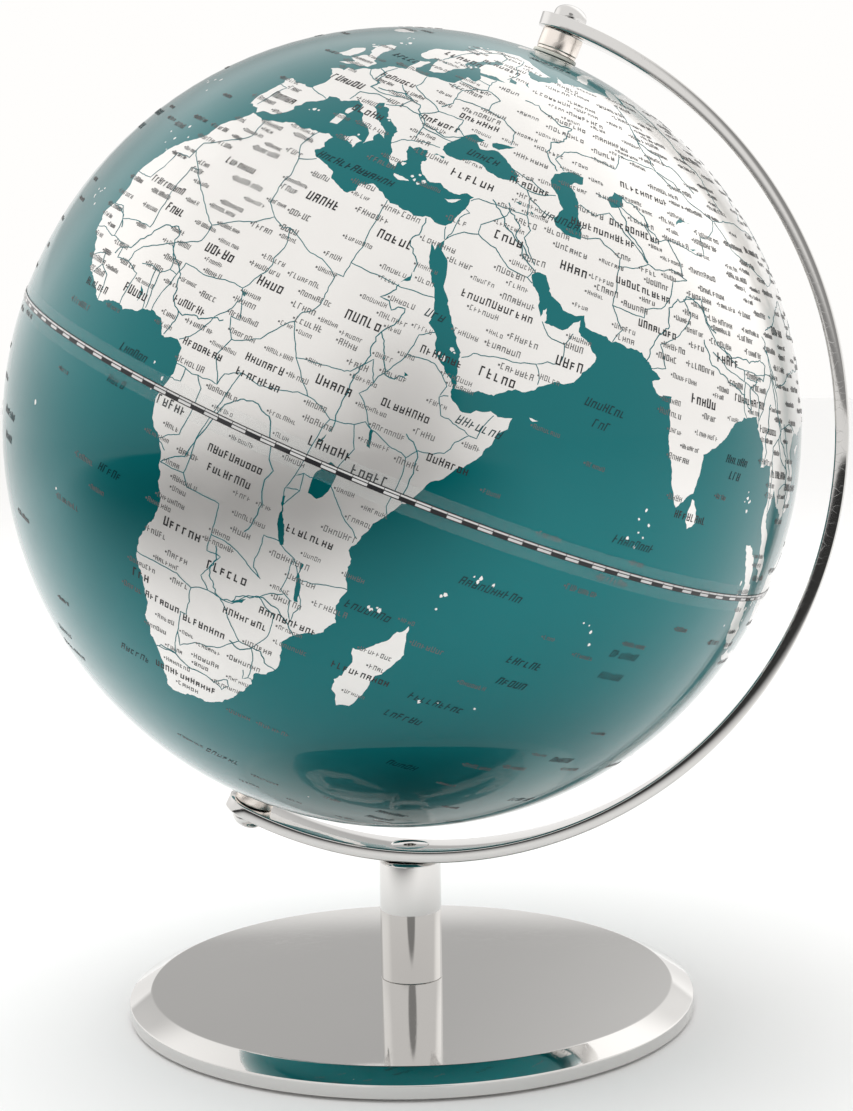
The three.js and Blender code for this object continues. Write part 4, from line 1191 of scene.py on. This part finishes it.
def stage_floor():
    """The pale desk."""
    mesh = bmesh.new()
    bmesh.ops.create_grid(mesh, x_segments=2, y_segments=2, size=12)
    floor = new_piece("desk", mesh)
    desk_paint = finish(
        "desk_paint", (0.9, 0.9, 0.9), (0.89, 0.89, 0.89), 0.6, smudge=0.02, mottle=4, bump=0, specular=0.2,
    )
    paint(floor, desk_paint)


def soft_box(name, place, target, size, power):
    """A broad lamp that is not mirrored in the metal."""
    data = bpy.data.lights.new(name, "AREA")
    data.shape = "RECTANGLE"
    data.size, data.size_y = size
    data.energy = power
    lamp = bpy.data.objects.new(name, data)
    bpy.context.scene.collection.objects.link(lamp)
    lamp.location = place
    lamp.rotation_euler = (Vector(target) - Vector(place)).to_track_quat("-Z", "Y").to_euler()
    lamp.visible_glossy = False


def toward(tree, direction, aim):
    """How nearly a direction points the same way as aim."""
    sockets = {0: direction, 1: Vector(aim).normalized()}
    return node(tree, "ShaderNodeVectorMath", sockets, operation="DOT_PRODUCT").outputs["Value"]


def room_light():
    """A plain pale room: a broad soft glow on the left, a smaller one behind on the right, a darker front."""
    world = bpy.data.worlds.new("room")
    bpy.context.scene.world = world
    world.use_nodes = True
    tree = world.node_tree
    way = node(tree, "ShaderNodeTexCoord").outputs["Generated"]
    height = toward(tree, way, (0, 0, 1))
    # Behind, a band of grey wall that the base's flat top mirrors
    wall = level_of(tree, height, 0.2, 0.25, 0.0, GREY_BAND - 1)
    wall = combined(tree, "MULTIPLY", wall, level_of(tree, height, 0.42, 0.62, 1.0, 0.0))
    behind = level_of(tree, toward(tree, way, (-0.24, 0.97, 0.3)), 0.72, 0.88, 0.0, 1.0)
    wall = combined(tree, "MULTIPLY", wall, behind)
    front = level_of(tree, toward(tree, way, (0, -1, 0)), 0.75, 0.97, 0.0, FRONT_LEVEL - 1)
    front = combined(tree, "MULTIPLY", front, level_of(tree, height, 0.0, 0.08, 1.0, 0.0))
    # In front, the narrow dark upright of whoever is looking gives round metal its dark middle line
    looker = level_of(tree, toward(tree, way, (0.24, -0.95, 0.2)), 0.955, 0.98, 0.0, LOOKER_LEVEL - 1)
    front = combined(tree, "MINIMUM", front, looker)
    level = combined(tree, "ADD", combined(tree, "ADD", front, wall), 1)
    above = level_of(tree, height, 0.02, 0.3, 0.0, 1.0)
    for aim, low, glow in (((-0.93, 0.37, 0.35), 0.72, LEFT_GLOW), ((0.5, 0.86, 0.5), 0.75, RIGHT_GLOW)):
        lamp = level_of(tree, toward(tree, way, aim), low, 0.97, 0.0, glow)
        level = combined(tree, "ADD", level, combined(tree, "MULTIPLY", above, lamp))
    # Seen straight on, the room is one plain pale tone
    straight = node(tree, "ShaderNodeLightPath").outputs["Is Camera Ray"]
    shown = node(tree, "ShaderNodeMix", {0: straight, 2: level, 3: 1}, data_type="FLOAT")
    background = tree.nodes["Background"].inputs
    tree.links.new(shown.outputs[0], background["Strength"])
    background["Color"].default_value = (1.0, 0.99, 0.975, 1)


def dark_reflection_patch():
    """A soft-edged dark patch low in front, seen only in gloss: a painted dark reflection that greys the ball's lower
    half.
    """
    mesh = bmesh.new()
    bmesh.ops.create_grid(mesh, x_segments=1, y_segments=1, size=1)
    bmesh.ops.scale(mesh, verts=mesh.verts, vec=PATCH_REACH)
    bmesh.ops.translate(mesh, verts=mesh.verts, vec=PATCH_PLACE)
    patch = new_piece("dark_reflection_patch", mesh)
    # Its black is a painted dark reflection: the patch is hidden from the camera, from shadows and from diffuse light
    black = finish("patch_black", (0.01, 0.01, 0.01), (0.015, 0.015, 0.015), 0.9, bump=0, specular=0.0)
    tree = black.node_tree
    around = node(
        tree, "ShaderNodeMapping",
        {"Vector": object_place(tree), "Location": PATCH_PLACE, "Scale": PATCH_REACH}, vector_type="TEXTURE",
    )
    fade = node(
        tree, "ShaderNodeTexGradient", {"Vector": around.outputs["Vector"]}, gradient_type="SPHERICAL",
    )
    cover = level_of(tree, fade.outputs["Fac"], 0.0, 0.25, 0.0, 0.97)
    tree.links.new(cover, tree.nodes["Principled BSDF"].inputs["Alpha"])
    paint(patch, black)
    patch.visible_camera = False
    patch.visible_shadow = False
    patch.visible_diffuse = False


stage_floor()
room_light()
soft_box("top_box", (-0.3, 0.1, 1.7), (0, 0, 0.2), (1.6, 1.4), 14)
# A painted dark reflection low in front, on the ball's lower half
dark_reflection_patch()

CAMERA_TURN = math.radians(13.98)
CAMERA_YAW = math.radians(0.634)
CAMERA_DROP = math.radians(5.38)
CAMERA_ROLL = math.radians(-0.887)
CAMERA_PLACE = Vector((0, -0.62413, 0.20487))
LENS_MM = 63.2858
FILM_MM = 36
turn_to_object = Matrix.Rotation(CAMERA_TURN, 3, "Z")
forward = turn_to_object @ Vector((
    math.sin(CAMERA_YAW) * math.cos(CAMERA_DROP), math.cos(CAMERA_YAW) * math.cos(CAMERA_DROP),
    -math.sin(CAMERA_DROP),
))
right = forward.cross(Vector((0, 0, 1))).normalized()
up = right.cross(forward)
right, up = (
    math.cos(CAMERA_ROLL) * right + math.sin(CAMERA_ROLL) * up,
    -math.sin(CAMERA_ROLL) * right + math.cos(CAMERA_ROLL) * up,
)
lens = bpy.data.cameras.new("camera")
lens.sensor_width = FILM_MM
lens.lens = LENS_MM
lens.clip_start = 0.01
camera = bpy.data.objects.new("camera", lens)
bpy.context.scene.collection.objects.link(camera)
facing = Matrix((right, up, -forward)).transposed().to_4x4()
camera.matrix_world = Matrix.Translation(turn_to_object @ CAMERA_PLACE) @ facing
bpy.context.scene.camera = camera
bpy.context.scene.view_settings.view_transform = "Standard"
